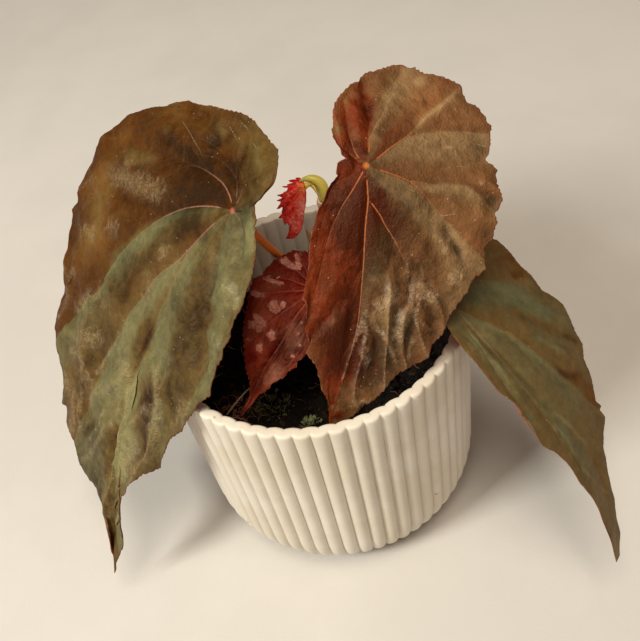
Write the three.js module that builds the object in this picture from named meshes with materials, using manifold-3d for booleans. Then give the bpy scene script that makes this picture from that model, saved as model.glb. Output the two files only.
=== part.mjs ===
// Potted begonia: a young painted-leaf begonia growing in a small ribbed ceramic pot.
// Five leaves on their own stalks leave one short stem, which stands in the soil of the pot.
// Millimetres, +Z up. The origin is the middle of the pot's underside, and the tips hang towards -Y.

import * as THREE from "three";
import { mergeVertices } from "three/addons/utils/BufferGeometryUtils.js";
import Module from "manifold-3d";

// Driving dimensions of the pot, whose wall is folded into even flutes of one thickness
const pot = {
  height: 86,
  rimRadius: 50,
  wall: 3,
  taper: 1.4,
  shoulderHeight: 20,
  footRadius: 34,
  innerFootRadius: 31,
  floor: 4,
  flutes: 60,
  fluteDepth: 2.4,
  stepsPerFlute: 4,
};

// Driving dimensions of the soil, which fills the pot up to this height
const soil = { height: 61, bump: 1.3, columns: 48 };
const seatGap = 0.3;

// Heights of the inner wall's edges below the rim, which the soil's side follows
const innerHeights = [24, 10, pot.floor];

// Driving dimensions of the stem and of the leaf stalks, as radii and the points that they pass
const stemRadius = 2.4;
const stemPath = [[5.5, 18.5, 50], [7.4, 17.5, 66], [9.8, 16.4, 84], [11.2, 13.8, 101], [11.6, 9.3, 119]];
const stalkSides = 8;

// Driving dimensions of the blades. The margin is a fan of veins as [angle, length]: degrees from the
// main vein and millimetres out to the edge, from one side of the notch at the stalk round to the other.
const blade = { thickness: 0.8, rings: [0.3, 0.58, 0.82, 1], columnWidth: 3.9 };
const leaves = {
  leaf_left: {
    junction: [-14, -1.6, 131],
    facing: [-0.6, -0.35, 0.72],
    tipward: [-0.62, -0.45, -0.62],
    droop: 0.16,
    arch: 0.08,
    swirl: 22,
    margin: [[-237, 8.5], [-223, 16.5], [-195, 22], [-157, 27], [-131, 35], [-119, 44], [-97, 66],
      [-87, 77.5], [-68, 88.5], [-48, 100.5], [-31, 114], [-15, 122.5], [-8, 143.5], [-8, 116.5], [-9, 109],
      [0, 83.5], [1, 72], [13, 54.5], [23, 38.5], [36, 26.5], [78, 12], [127, 8]],
    tipRow: 12,
    veins: [-195, -152, -119, -97, -74, -46, -23, -8, 0, 14, 34],
    puff: 1.5,
    tooth: 0.8,
    colour: 0x5b4f2c,
    stalk: [[8.4, 17, 75], [-3.9, 9.8, 98.5], [-10.2, 3, 117.5]],
    stalkRadius: 1.25,
  },
  leaf_right: {
    junction: [24, -3.5, 137],
    facing: [0.12, -0.6, 0.79],
    tipward: [-0.2, -0.82, -0.54],
    droop: 0.5,
    arch: 0.2,
    swirl: 0,
    margin: [[-87, 5.5], [-51, 15], [-35, 25.5], [-27, 38], [-21, 49], [-12, 61.5], [-8, 75.5],
      [1, 66.5], [10, 57.5], [20, 54], [37, 45], [57, 41], [75, 39.5], [94, 36.5], [115, 37.5], [132, 37],
      [158, 33], [180, 27.5], [202, 20.5], [222, 13.5], [244, 5.5]],
    tipRow: 6,
    veins: [-51, -29, -21, -13, -6, 6, 22, 47, 77, 109, 135, 159, 200],
    puff: 1.2,
    tooth: 0.7,
    colour: 0x74402a,
    stalk: [[10.2, 16, 88], [15.5, 12, 108], [21, 4.5, 125]],
    stalkRadius: 1.3,
  },
  leaf_back_right: {
    junction: [38.6, -23.7, 99],
    facing: [0.45, -0.25, 0.85],
    tipward: [0.58, -0.59, -0.55],
    droop: 0.42,
    arch: 0.2,
    swirl: 0,
    margin: [[-126, 7], [-60, 8.5], [-33, 16.5], [-17, 34.5], [-15, 46], [-7, 60], [-5, 74.5],
      [-4, 101.5], [3, 81], [15, 67.5], [23, 58.5], [46, 49.5], [69, 38.5], [97, 35], [122, 23.5],
      [178, 7.5]],
    tipRow: 7,
    veins: [-33, -14, -4, 2, 18, 41, 66, 92, 122],
    puff: 1.2,
    tooth: 0.7,
    colour: 0x564826,
    stalk: [[8, 16.9, 76], [22, 0, 90], [34, -17, 96]],
    stalkRadius: 1.3,
  },
  leaf_centre: {
    junction: [3.8, -6.4, 98],
    facing: [0.2, -0.45, 0.87],
    tipward: [-0.57, -0.82, -0.07],
    droop: 1,
    arch: 0.5,
    swirl: 0,
    margin: [[-187, 4.5], [-157, 13], [-129, 14.5], [-98, 16.5], [-72, 19.5], [-45, 23], [-22, 29],
      [-10, 35.5], [-5, 47], [-3, 39], [1, 32.5], [12, 23], [27, 17], [91, 6]],
    tipRow: 8,
    veins: [-157, -126, -98, -74, -46, -24, -5, 8, 30, 60],
    puff: 0.6,
    tooth: 0.6,
    colour: 0x6b211c,
    stalk: [[7.3, 17.3, 70], [5.5, 8, 80], [3.9, -1, 90]],
    stalkRadius: 1.1,
    columnWidth: 2.4,
  },
  leaf_young: {
    junction: [7, 16.2, 120],
    facing: [-0.6, -0.6, 0.5],
    tipward: [-0.2, -0.1, -1],
    droop: 0.8,
    arch: 0.5,
    swirl: 0,
    margin: [[-151, 1.5], [-114, 4], [-75, 7.5], [-46, 12.5], [-25, 15], [-12, 19.5], [4, 15], [12, 7.5],
      [24, 4]],
    tipRow: 5,
    veins: [-114, -71, -43, -25, -12, 4],
    puff: 0.4,
    tooth: 1.1,
    colour: 0xb02430,
    stalk: [[11.4, 10.4, 114.5], [11.2, 15, 116]],
    stalkRadius: 0.8,
    columnWidth: 1.3,
  },
};

// Driving dimensions of the two stipules, leaf-like scales that stand at the leaf stalks' roots
const scales = {
  stipule_tip: {
    root: [10.9, 9, 119],
    along: [0.6, 0.1, 0.6],
    curl: [-0.5, 0.3, 0.75],
    length: 12.5,
    width: 5,
    thickness: 4.4,
    bend: 165,
    colour: 0xa6a63c,
  },
  stipule_dry: {
    root: [7.8, 16.6, 92.5],
    along: [-0.28, 0.1, 1],
    curl: [0, -1, 0],
    length: 12,
    width: 3.8,
    thickness: 0.9,
    bend: 20,
    colour: 0xd8c692,
  },
};

const wasm = await Module();
wasm.setup();

const vector = (point) => new THREE.Vector3(...point);

// The outer radius of the pot over the flutes' crests: a quarter ellipse up from the foot, then a
// wall that opens slightly up to the rim
function outerRadius(z) {
  const shoulderRadius = pot.rimRadius - pot.taper;
  if (z < pot.shoulderHeight) {
    const rise = 1 - z / pot.shoulderHeight;
    return pot.footRadius + (shoulderRadius - pot.footRadius) * Math.sqrt(1 - rise * rise);
  }
  return shoulderRadius + pot.taper * (z - pot.shoulderHeight) / (pot.height - pot.shoulderHeight);
}

// The inner radius over the flutes' crests, whose own ellipse starts on the pot's floor
function innerRadius(z) {
  if (z >= pot.shoulderHeight) {
    return outerRadius(z) - pot.wall;
  }
  const rise = 1 - (z - pot.floor) / (pot.shoulderHeight - pot.floor);
  const shoulderRadius = pot.rimRadius - pot.taper - pot.wall;
  return pot.innerFootRadius + (shoulderRadius - pot.innerFootRadius) * Math.sqrt(1 - rise * rise);
}

// The flutes get shallower down the bowl, towards the foot
function fluteDepth(z) {
  const footShare = 0.35;
  return pot.fluteDepth * Math.min(1, footShare + z / pot.shoulderHeight);
}

// A closed body turned about the Z axis. Each ring is a function from a column's angle to a point,
// and the first and the last ring close on the axis.
function turnedBody(rings, columns, bottomZ, topZ) {
  const positions = [0, 0, bottomZ];
  for (const ring of rings) {
    for (let column = 0; column < columns; column += 1) {
      positions.push(...ring(column / columns * 2 * Math.PI));
    }
  }
  positions.push(0, 0, topZ);
  const lastVertex = positions.length / 3 - 1;
  const at = (ring, column) => 1 + ring * columns + column % columns;
  const faces = [];
  for (let column = 0; column < columns; column += 1) {
    faces.push(0, at(0, column + 1), at(0, column));
    for (let ring = 0; ring + 1 < rings.length; ring += 1) {
      faces.push(at(ring, column), at(ring, column + 1), at(ring + 1, column + 1));
      faces.push(at(ring, column), at(ring + 1, column + 1), at(ring + 1, column));
    }
    faces.push(at(rings.length - 1, column), at(rings.length - 1, column + 1), lastVertex);
  }
  return indexed(positions, faces);
}

function indexed(positions, faces) {
  const geometry = new THREE.BufferGeometry();
  geometry.setAttribute("position", new THREE.Float32BufferAttribute(positions, 3));
  geometry.setIndex(faces);
  geometry.computeVertexNormals();
  return geometry;
}

// Booleans between closed geometries
function solidOf(geometry) {
  const bare = geometry.clone();
  bare.deleteAttribute("normal");
  bare.deleteAttribute("uv");
  const merged = mergeVertices(bare, 1e-4);
  const vertProperties = new Float32Array(merged.attributes.position.array);
  const triVerts = new Uint32Array(merged.index.array);
  return new wasm.Manifold(new wasm.Mesh({ numProp: 3, vertProperties, triVerts }));
}

function geometryOf(solid) {
  const mesh = solid.getMesh();
  return indexed([...mesh.vertProperties], [...mesh.triVerts]);
}

// The piece that is left of a body after its neighbours, drawn larger by the seat gap, are cut away
function cutAway(geometry, neighbours) {
  let solid = solidOf(geometry);
  for (const neighbour of neighbours) {
    solid = solid.subtract(solidOf(neighbour));
  }
  const pieces = solid.decompose();
  pieces.sort((a, b) => b.volume() - a.volume());
  return geometryOf(pieces[0]);
}

// The pot: up the outside, over the rim and down the inside to the floor
function potGeometry() {
  const fluted = (radius, z) => (angle) => {
    const groove = fluteDepth(z) * (1 - Math.cos(pot.flutes * angle)) / 2;
    return [(radius - groove) * Math.cos(angle), (radius - groove) * Math.sin(angle), z];
  };
  const bowlHeights = [0, 2, 7, pot.shoulderHeight];
  const outside = [...bowlHeights, pot.height].map((z) => fluted(outerRadius(z), z));
  const inside = [pot.height, ...innerHeights].map((z) => fluted(innerRadius(z), z));
  return turnedBody([...outside, ...inside], pot.flutes * pot.stepsPerFlute, 0, pot.floor);
}

// The soil: a plug that stands clear of the fluted wall, with a crumbly top and a hole for the stem
function soilGeometry(stemHole) {
  const side = (z, lift) => (angle) => {
    const radius = innerRadius(z) - fluteDepth(z) - seatGap;
    return [radius * Math.cos(angle), radius * Math.sin(angle), z + lift];
  };
  const topRadius = innerRadius(soil.height) - pot.fluteDepth - seatGap;
  const crumbly = (share) => (angle) => {
    const x = share * topRadius * Math.cos(angle);
    const y = share * topRadius * Math.sin(angle);
    const waves = Math.sin(x / 3.1 + 1) * Math.cos(y / 4.3) + 0.5 * Math.sin((x + 2 * y) / 5.7);
    return [x, y, soil.height + soil.bump * waves];
  };
  const sides = [...innerHeights].reverse().map((z) => side(z, z === pot.floor ? seatGap : 0));
  const top = [1, 0.86, 0.66, 0.44, 0.22].map(crumbly);
  const plug = turnedBody([...sides, ...top], soil.columns, pot.floor + seatGap, soil.height);
  return cutAway(plug, [stemHole]);
}

// A round stem along a curve through its points
function stemGeometry(points, radius, steps, sides) {
  const circle = new THREE.Shape();
  circle.absarc(0, 0, radius, 0, 2 * Math.PI);
  return new THREE.ExtrudeGeometry(circle, {
    extrudePath: new THREE.CatmullRomCurve3(points.map(vector)),
    curveSegments: sides / 2,
    steps,
  });
}

// The main stem, or the same with room around it, whose lower end reaches further down
function mainStem(room) {
  const [foot, ...rest] = stemPath;
  return stemGeometry([[foot[0], foot[1], foot[2] - room], ...rest], stemRadius + room, 12, 12);
}

// The axes of a blade at its junction: along the main vein, across it and out of the upper face
function bladeAxes(leaf) {
  const normal = vector(leaf.facing).normalize();
  const tipward = vector(leaf.tipward);
  tipward.addScaledVector(normal, -tipward.dot(normal)).normalize();
  return { normal, tipward, across: new THREE.Vector3().crossVectors(normal, tipward) };
}

// How far the tissue bulges between two veins, and how the edge waves with it
function relief(leaf, angle, reach) {
  const veins = leaf.veins;
  const next = veins.findIndex((vein) => vein > angle);
  if (next < 1) {
    return 0;
  }
  const share = (angle - veins[next - 1]) / (veins[next] - veins[next - 1]);
  const cushion = Math.sin(Math.PI * share) * Math.sin(Math.PI * Math.min(1, 0.15 + 0.8 * reach));
  const wave = 0.6 * reach ** 4 * Math.cos(2 * Math.PI * share);
  return leaf.puff * (cushion + wave);
}

// A point of the blade. Each vein is a circular arc that leaves the junction along the blade's plane
// and bends down, by droop along the main vein and by arch across it, in degrees per millimetre. Swirl
// is the angle by which a vein turns sideways on its way out.
function bladePoint(leaf, angle, length, reach, lift) {
  const theta = THREE.MathUtils.degToRad(angle);
  const perMillimetre = leaf.droop * Math.cos(theta) ** 2 + leaf.arch * Math.sin(theta) ** 2;
  const bend = THREE.MathUtils.degToRad(perMillimetre);
  const turned = theta + THREE.MathUtils.degToRad(leaf.swirl) * (reach - 1);
  const { normal, tipward, across } = leaf.axes;
  const out = tipward.clone().multiplyScalar(Math.cos(turned)).addScaledVector(across, Math.sin(turned));
  const arc = bend * length * reach;
  const height = lift + relief(leaf, angle, reach);
  return vector(leaf.junction)
    .addScaledVector(out, Math.sin(arc) / bend + height * Math.sin(arc))
    .addScaledVector(normal, (Math.cos(arc) - 1) / bend + height * Math.cos(arc));
}

// One side of a blade's edge, as a curve from the notch to the drip tip or back
class EdgeCurve extends THREE.Curve {
  constructor(leaf, rows) {
    super();
    this.leaf = leaf;
    this.veinFan = new THREE.SplineCurve(rows.map(([angle, length]) => new THREE.Vector2(angle, length)));
  }

  getPoint(t) {
    const vein = this.veinFan.getPoint(t);
    return bladePoint(this.leaf, vein.x, vein.y, 1, 0);
  }
}

// The veins that the blade's mesh follows, evenly spaced along the edge, with every second one short
// of the edge by a tooth
function edgeVeins(leaf) {
  const halves = [leaf.margin.slice(0, leaf.tipRow + 1), leaf.margin.slice(leaf.tipRow)];
  const veins = [];
  for (const rows of halves) {
    const curve = new EdgeCurve(leaf, rows);
    const pairs = Math.max(3, Math.round(curve.getLength() / (2 * leaf.columnWidth)));
    const first = veins.length === 0 ? 0 : 1;
    for (let step = first; step <= 2 * pairs; step += 1) {
      const vein = curve.veinFan.getPoint(curve.getUtoTmapping(step / (2 * pairs)));
      const tooth = step % 2 === 1 ? leaf.tooth : 0;
      veins.push([vein.x, vein.y - tooth]);
    }
  }
  return veins;
}

// A blade: two like faces either side of the mid-surface, joined round the edge and down the notch
function bladeGeometry(leaf) {
  const veins = edgeVeins(leaf);
  const rings = blade.rings;
  const positions = [];
  for (const lift of [blade.thickness / 2, -blade.thickness / 2]) {
    positions.push(...bladePoint(leaf, 0, 1, 0, lift).toArray());
    for (const [angle, length] of veins) {
      for (const reach of rings) {
        positions.push(...bladePoint(leaf, angle, length, reach, lift).toArray());
      }
    }
  }
  const perFace = 1 + veins.length * rings.length;
  const at = (face, vein, ring) => {
    const junction = face * perFace;
    return ring < 0 ? junction : junction + 1 + vein * rings.length + ring;
  };
  const quads = [];
  for (let vein = 0; vein + 1 < veins.length; vein += 1) {
    for (let ring = 0; ring < rings.length; ring += 1) {
      const [inner, next] = [ring - 1, vein + 1];
      quads.push([at(0, vein, ring), at(0, next, ring), at(0, next, inner), at(0, vein, inner)]);
      quads.push([at(1, vein, ring), at(1, vein, inner), at(1, next, inner), at(1, next, ring)]);
    }
    const edge = rings.length - 1;
    quads.push([at(1, vein, edge), at(1, vein + 1, edge), at(0, vein + 1, edge), at(0, vein, edge)]);
  }
  for (let ring = 0; ring < rings.length; ring += 1) {
    const end = veins.length - 1;
    quads.push([at(0, 0, ring - 1), at(1, 0, ring - 1), at(1, 0, ring), at(0, 0, ring)]);
    quads.push([at(0, end, ring), at(1, end, ring), at(1, end, ring - 1), at(0, end, ring - 1)]);
  }
  return indexed(positions, trianglesOf(quads));
}

// Quads split along the same diagonal on both faces, so that a waved blade keeps its thickness
function trianglesOf(quads) {
  const faces = [];
  for (const [a, b, c, d] of quads) {
    if (a !== b && b !== c) {
      faces.push(a, b, c);
    }
    if (a !== d && c !== d) {
      faces.push(a, c, d);
    }
  }
  return faces;
}

// A leaf's stalk: from inside the stem to just under the blade, where it arrives along the normal
function stalkGeometry(leaf, stemRoom) {
  const junction = vector(leaf.junction);
  const under = blade.thickness / 2 + seatGap;
  const arrival = [4, under].map((depth) => junction.clone().addScaledVector(leaf.axes.normal, -depth));
  const points = [...leaf.stalk, ...arrival.map((point) => point.toArray())];
  return cutAway(stemGeometry(points, leaf.stalkRadius, 14, stalkSides), [stemRoom]);
}

// A stipule: an ellipsoid, drawn out to a point and bent over along an arc
function scaleGeometry(scale) {
  const along = vector(scale.along).normalize();
  const curl = vector(scale.curl);
  curl.addScaledVector(along, -curl.dot(along)).normalize();
  const side = new THREE.Vector3().crossVectors(along, curl);
  const bend = THREE.MathUtils.degToRad(scale.bend);
  const arcRadius = scale.length / bend;
  const geometry = new THREE.SphereGeometry(1, 12, 10);
  geometry.rotateX(Math.PI / 2);
  const corners = geometry.attributes.position;
  for (let corner = 0; corner < corners.count; corner += 1) {
    const local = new THREE.Vector3().fromBufferAttribute(corners, corner);
    const share = (local.z + 1) / 2;
    const slender = 1 - 0.55 * share;
    const turn = bend * share;
    const radius = arcRadius - local.x * slender * scale.thickness / 2;
    const point = vector(scale.root)
      .addScaledVector(along, radius * Math.sin(turn))
      .addScaledVector(curl, arcRadius - radius * Math.cos(turn))
      .addScaledVector(side, local.y * slender * scale.width / 2);
    corners.setXYZ(corner, point.x, point.y, point.z);
  }
  return geometry;
}

const plant = new THREE.Group();

function addPart(name, geometry, colour, roughness) {
  const material = new THREE.MeshStandardMaterial({ color: colour, roughness, metalness: 0 });
  const mesh = new THREE.Mesh(geometry, material);
  mesh.name = name;
  plant.add(mesh);
}

const stem = mainStem(0);
const stemRoom = mainStem(seatGap);
addPart("pot", potGeometry(), 0xe8e0d2, 0.75);
addPart("soil", soilGeometry(stemRoom), 0x1c140e, 0.95);
addPart("stem", stem, 0xb98a62, 0.5);

for (const [name, leaf] of Object.entries(leaves)) {
  leaf.axes = bladeAxes(leaf);
  leaf.columnWidth = leaf.columnWidth ?? blade.columnWidth;
  addPart(name, bladeGeometry(leaf), leaf.colour, 0.45);
  addPart(name.replace("leaf", "stalk"), stalkGeometry(leaf, stemRoom), 0xc2521f, 0.45);
}

for (const [name, scale] of Object.entries(scales)) {
  addPart(name, cutAway(scaleGeometry(scale), [stemRoom]), scale.colour, 0.6);
}

export default plant;
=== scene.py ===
"""The visual model of a potted begonia: a young painted-leaf plant in a small fluted pot."""

import math
import random

import bmesh
import bpy
import numpy
from mathutils import Matrix, Vector, noise


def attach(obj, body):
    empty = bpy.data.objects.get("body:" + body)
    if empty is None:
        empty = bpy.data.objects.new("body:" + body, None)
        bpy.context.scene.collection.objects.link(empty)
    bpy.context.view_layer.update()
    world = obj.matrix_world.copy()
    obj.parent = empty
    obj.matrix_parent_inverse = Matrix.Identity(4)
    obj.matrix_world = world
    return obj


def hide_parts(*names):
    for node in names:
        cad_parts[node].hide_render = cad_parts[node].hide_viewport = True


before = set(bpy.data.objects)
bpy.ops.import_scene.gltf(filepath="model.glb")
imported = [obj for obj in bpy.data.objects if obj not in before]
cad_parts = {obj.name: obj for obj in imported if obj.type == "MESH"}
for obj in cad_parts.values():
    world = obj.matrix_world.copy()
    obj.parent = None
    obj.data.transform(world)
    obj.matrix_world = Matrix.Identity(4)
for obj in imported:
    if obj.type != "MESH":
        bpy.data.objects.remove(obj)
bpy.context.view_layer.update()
MILLIMETRE = 0.001

# The pot: a slip-cast bowl of warm white stoneware with a thin matt glaze. Its wall is folded into
# sixty flutes, so that a groove outside is a rounded rib inside, and the rim is wiped smooth and round.
POT_HEIGHT = 86
RIM_RADIUS = 50
WALL = 3.5
WALL_TAPER = 1.4
SHOULDER_HEIGHT = 20
FOOT_RADIUS = 34
INNER_FOOT_RADIUS = 31
SMOOTH_FOOT = 32
POT_FLOOR = 4
FLUTES = 60
FLUTE_DEPTH = 1.6
INNER_FLUTE_DEPTH = 1.0
LOBE_ROUNDNESS = 0.86
FLUTES_AT_FOOT = 0.35
FLUTES_FADE_FROM = 76
FLUTES_FADED = 0.42
LIP_ROUNDING = 1.0
COLUMNS_PER_FLUTE = 14
WELD = 0.0005
GLAZE_WHITE = (0.76, 0.71, 0.62)
GLAZE_CREAM = (0.70, 0.63, 0.52)
GROOVE_GRIME = (0.42, 0.34, 0.25)
PORE_BROWN = (0.16, 0.10, 0.06)


class Output:
    """What a node puts out. Sums, products and the like of such numbers make their own math nodes."""

    def __init__(self, node, name=0):
        self.socket = node.outputs[name]
        self.tree = self.socket.id_data

    def beside(self, name):
        """Another output of the same node."""
        return Output(self.socket.node, name)

    def __add__(self, other):
        return compute("ADD", self, other)

    def __sub__(self, other):
        return compute("SUBTRACT", self, other)

    def __rsub__(self, other):
        return compute("SUBTRACT", other, self)

    def __mul__(self, other):
        return compute("MULTIPLY", self, other)

    def __truediv__(self, other):
        return compute("DIVIDE", self, other)

    def __abs__(self):
        return compute("ABSOLUTE", self)


def feed(socket, value):
    """Links an output to a socket, or sets the socket to a plain number, place or colour."""
    if isinstance(value, Output):
        socket.id_data.links.new(value.socket, socket)
    else:
        socket.default_value = (*value, 1) if socket.type == "RGBA" else value


def add_node(tree, kind, inputs=(), **settings):
    """Adds a node to a tree, with its settings and with what goes into its sockets."""
    made = tree.nodes.new(kind)
    for name, value in settings.items():
        setattr(made, name, value)
    for name, value in dict(inputs).items():
        feed(made.inputs[name], value)
    return made


def tree_of(*values):
    """The node tree that these outputs and plain values belong to."""
    return next(value.tree for value in values if isinstance(value, Output))


def compute(operation, *values):
    """The result of one sum, product or other step."""
    inputs = dict(enumerate(values))
    return Output(add_node(tree_of(*values), "ShaderNodeMath", inputs, operation=operation))


def ease(value, start, end, low=0.0, high=1.0):
    """The value's place between start and end, eased in and out, from low to high."""
    inputs = {"Value": value, "From Min": start, "From Max": end, "To Min": low, "To Max": high}
    return Output(add_node(value.tree, "ShaderNodeMapRange", inputs, interpolation_type="SMOOTHSTEP"))


def blend_colours(share, first, second, way="MIX"):
    """Two colours mixed by a share of the second."""
    inputs = {0: share, 6: first, 7: second}
    tree = tree_of(share, first, second)
    return Output(add_node(tree, "ShaderNodeMix", inputs, data_type="RGBA", blend_type=way), 2)


def noise_value(place, scale, detail=3.0, roughness=0.55, distortion=0.0):
    """Soft noise from 0 to 1, with its scale per unit of the place."""
    inputs = {"Vector": place, "Scale": scale, "Detail": detail, "Roughness": roughness}
    inputs["Distortion"] = distortion
    return Output(add_node(place.tree, "ShaderNodeTexNoise", inputs))


def read_attribute(tree, name, output="Fac"):
    """A value that is stored on the piece's own vertices."""
    return Output(add_node(tree, "ShaderNodeAttribute", attribute_name=name), output)


def open_group(name, **inputs):
    """A new node group and its inputs by name. Each is given as its kind, or as the number it starts from."""
    group = bpy.data.node_groups.new(name, "ShaderNodeTree")
    for label, value in inputs.items():
        kind = value if isinstance(value, str) else "Float"
        socket = group.interface.new_socket(
            label.replace("_", " "), in_out="INPUT", socket_type="NodeSocket" + kind)
        if kind == "Float":
            socket.default_value = value
    given = group.nodes.new("NodeGroupInput")
    return group, {label: Output(given, label.replace("_", " ")) for label in inputs}


def close_group(group, **results):
    """The node group, finished with its results."""
    for label, value in results.items():
        kind = "Color" if value.socket.type == "RGBA" else "Float"
        group.interface.new_socket(label, in_out="OUTPUT", socket_type="NodeSocket" + kind)
    add_node(group, "NodeGroupOutput", results)
    return group


def mottling_group():
    """Uneven colour: two sizes of soft blotches that mix two colours."""
    group, take = open_group("mottling", Place="Vector", Scale=100.0, Light="Color", Dark="Color")
    coarse = noise_value(take["Place"], take["Scale"], 2.0)
    fine = noise_value(take["Place"], take["Scale"] * 5.0)
    mask = ease(coarse * 0.65 + fine * 0.35, 0.38, 0.62)
    return close_group(group, Colour=blend_colours(mask, take["Light"], take["Dark"]), Mask=mask)


def specks_group():
    """Sparse small dots, such as pores in a glaze or dust on a leaf."""
    group, take = open_group("specks", Place="Vector", Scale=400.0, Size=0.2, Share=0.1)
    inputs = {"Vector": take["Place"], "Scale": take["Scale"]}
    cells = Output(add_node(group, "ShaderNodeTexVoronoi", inputs), "Distance")
    dot = ease(cells, take["Size"], take["Size"] * 0.5)
    luck = Output(add_node(group, "ShaderNodeSeparateColor", {0: cells.beside("Color")}))
    chosen = compute("LESS_THAN", compute("FRACT", luck * 7.31), take["Share"])
    return close_group(group, Mask=dot * chosen)


MOTTLING = mottling_group()
SPECKS = specks_group()


def mottled(place, scale, light, dark):
    """Two colours in soft blotches, with the blotches' mask beside them."""
    inputs = {"Place": place, "Scale": scale, "Light": light, "Dark": dark}
    return Output(add_node(place.tree, "ShaderNodeGroup", inputs, node_tree=MOTTLING), "Colour")


def speckled(place, scale, size, share):
    """The mask of sparse dots, of a size in cells, of which a share shows."""
    inputs = {"Place": place, "Scale": scale, "Size": size, "Share": share}
    return Output(add_node(place.tree, "ShaderNodeGroup", inputs, node_tree=SPECKS))


def bare_material(name, **constants):
    """A material, whose plain values are set on its shader's own sockets."""
    material = bpy.data.materials.new(name)
    material.use_nodes = True
    for label, value in constants.items():
        feed(material.node_tree.nodes["Principled BSDF"].inputs[label.replace("_", " ")], value)
    return material


def new_material(name, **constants):
    """A material, and the Object coordinates in it, in metres."""
    material = bare_material(name, **constants)
    return material, Output(add_node(material.node_tree, "ShaderNodeTexCoord"), "Object")


def dress(material, colour, roughness, height, relief):
    """Feeds a material's colour, roughness and bump."""
    inputs = {"Strength": relief, "Distance": MILLIMETRE, "Height": height}
    bump = Output(add_node(material.node_tree, "ShaderNodeBump", inputs))
    for label, value in (("Base Color", colour), ("Roughness", roughness), ("Normal", bump)):
        feed(material.node_tree.nodes["Principled BSDF"].inputs[label], value)


def make_piece(name, shape, material, slot, *stands_for):
    """Makes a closed shape in millimetres a named piece that rides on the plant's one body."""
    bmesh.ops.scale(shape, vec=(MILLIMETRE,) * 3, verts=shape.verts)
    bmesh.ops.recalc_face_normals(shape, faces=shape.faces)
    mesh = bpy.data.meshes.new(name)
    shape.to_mesh(mesh)
    shape.free()
    mesh.shade_smooth()
    mesh.materials.append(material)
    piece = bpy.data.objects.new(name, mesh)
    bpy.context.scene.collection.objects.link(piece)
    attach(piece, "root")
    if stands_for:
        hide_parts(*stands_for)


def outer_radius(z):
    """The pot's outer radius over the crests: a quarter ellipse, then a wall that opens slightly."""
    shoulder = RIM_RADIUS - WALL_TAPER
    if z < SHOULDER_HEIGHT:
        return FOOT_RADIUS + (shoulder - FOOT_RADIUS) * math.sqrt(1 - (1 - z / SHOULDER_HEIGHT) ** 2)
    return shoulder + WALL_TAPER * (z - SHOULDER_HEIGHT) / (POT_HEIGHT - SHOULDER_HEIGHT)


def inner_radius(z):
    """The pot's inner radius over the crests, down to the floor inside."""
    if z >= SHOULDER_HEIGHT:
        return outer_radius(z) - WALL
    shoulder = RIM_RADIUS - WALL_TAPER - WALL
    rise = 1 - max(0, z - POT_FLOOR) / (SHOULDER_HEIGHT - POT_FLOOR)
    return INNER_FOOT_RADIUS + (shoulder - INNER_FOOT_RADIUS) * math.sqrt(max(0, 1 - rise * rise))


def flute_share(z):
    """The flutes get shallower down the bowl, and a little at the lip."""
    at_lip = (z - FLUTES_FADE_FROM) / (POT_HEIGHT - FLUTES_FADE_FROM)
    return min(1, FLUTES_AT_FOOT + z / SHOULDER_HEIGHT, 1 - FLUTES_FADED * at_lip)


def flute_waves(x, y):
    """How far the wall is folded in at this side of the pot, 0 to 1: outside, then inside."""
    place = math.atan2(y, x) * FLUTES / (2 * math.pi)
    off_crest = 2 * abs(place - round(place))
    outside = 1 - math.sqrt(1 - LOBE_ROUNDNESS * off_crest ** 2)
    inside = 1 - math.sqrt(1 - LOBE_ROUNDNESS * (1 - off_crest) ** 2)
    depth = 1 - math.sqrt(1 - LOBE_ROUNDNESS)
    return outside / depth, 1 - inside / depth


def pot_section():
    """Half a section of the pot over its crests, as [radius, height, share of the outside's folds]."""
    under = [[0, 1.3, 0], [20, 1.3, 0], [28.5, 1.2, 0], [30, 0.5, 0], [31, 0.05, 0.2], [32.6, 0.0, 0.6]]
    heights = [SHOULDER_HEIGHT * (1 - math.cos(math.pi / 2 * step / 11)) + 0.25 for step in range(11)]
    heights += [SHOULDER_HEIGHT + 0.5 + 3.9 * step for step in range(17)]
    outside = [[outer_radius(z), z, 1] for z in heights if z < POT_HEIGHT - LIP_ROUNDING - 0.3]
    turns = [math.pi / 2 * step / 5 for step in range(6)]
    corner = [[LIP_ROUNDING * (1 - math.cos(turn)), LIP_ROUNDING * (1 - math.sin(turn))] for turn in turns]
    rim = [[RIM_RADIUS - across, POT_HEIGHT - down, 1 - across / WALL] for across, down in corner]
    rim += [[RIM_RADIUS - WALL + across, POT_HEIGHT - down, across / WALL] for across, down in corner[::-1]]
    inside = [[inner_radius(z), z, 0] for z in (82, 76, 70, 64, 58, 50, 40, 30, 24, 19, 15, 11, 8, 6, 4.8)]
    return under + outside + rim + inside + [[27, POT_FLOOR, 0], [12, POT_FLOOR, 0], [0, POT_FLOOR, 0]]


def turn_section(shape, section, columns, layer):
    """Turns half a section about the upright axis. Each row is a radius, a height and the layer's value."""
    corners = []
    for radius, height, value in section:
        corner = shape.verts.new((radius, 0, height))
        corner[layer] = value
        corners.append(corner)
    for start, end in zip(corners, corners[1:]):
        shape.edges.new((start, end))
    bmesh.ops.spin(
        shape, geom=shape.verts[:] + shape.edges[:], cent=(0, 0, 0), axis=(0, 0, 1), dvec=(0, 0, 0),
        angle=2 * math.pi, steps=columns, use_merge=True, use_normal_flip=False)
    bmesh.ops.remove_doubles(shape, verts=shape.verts, dist=WELD)


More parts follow.
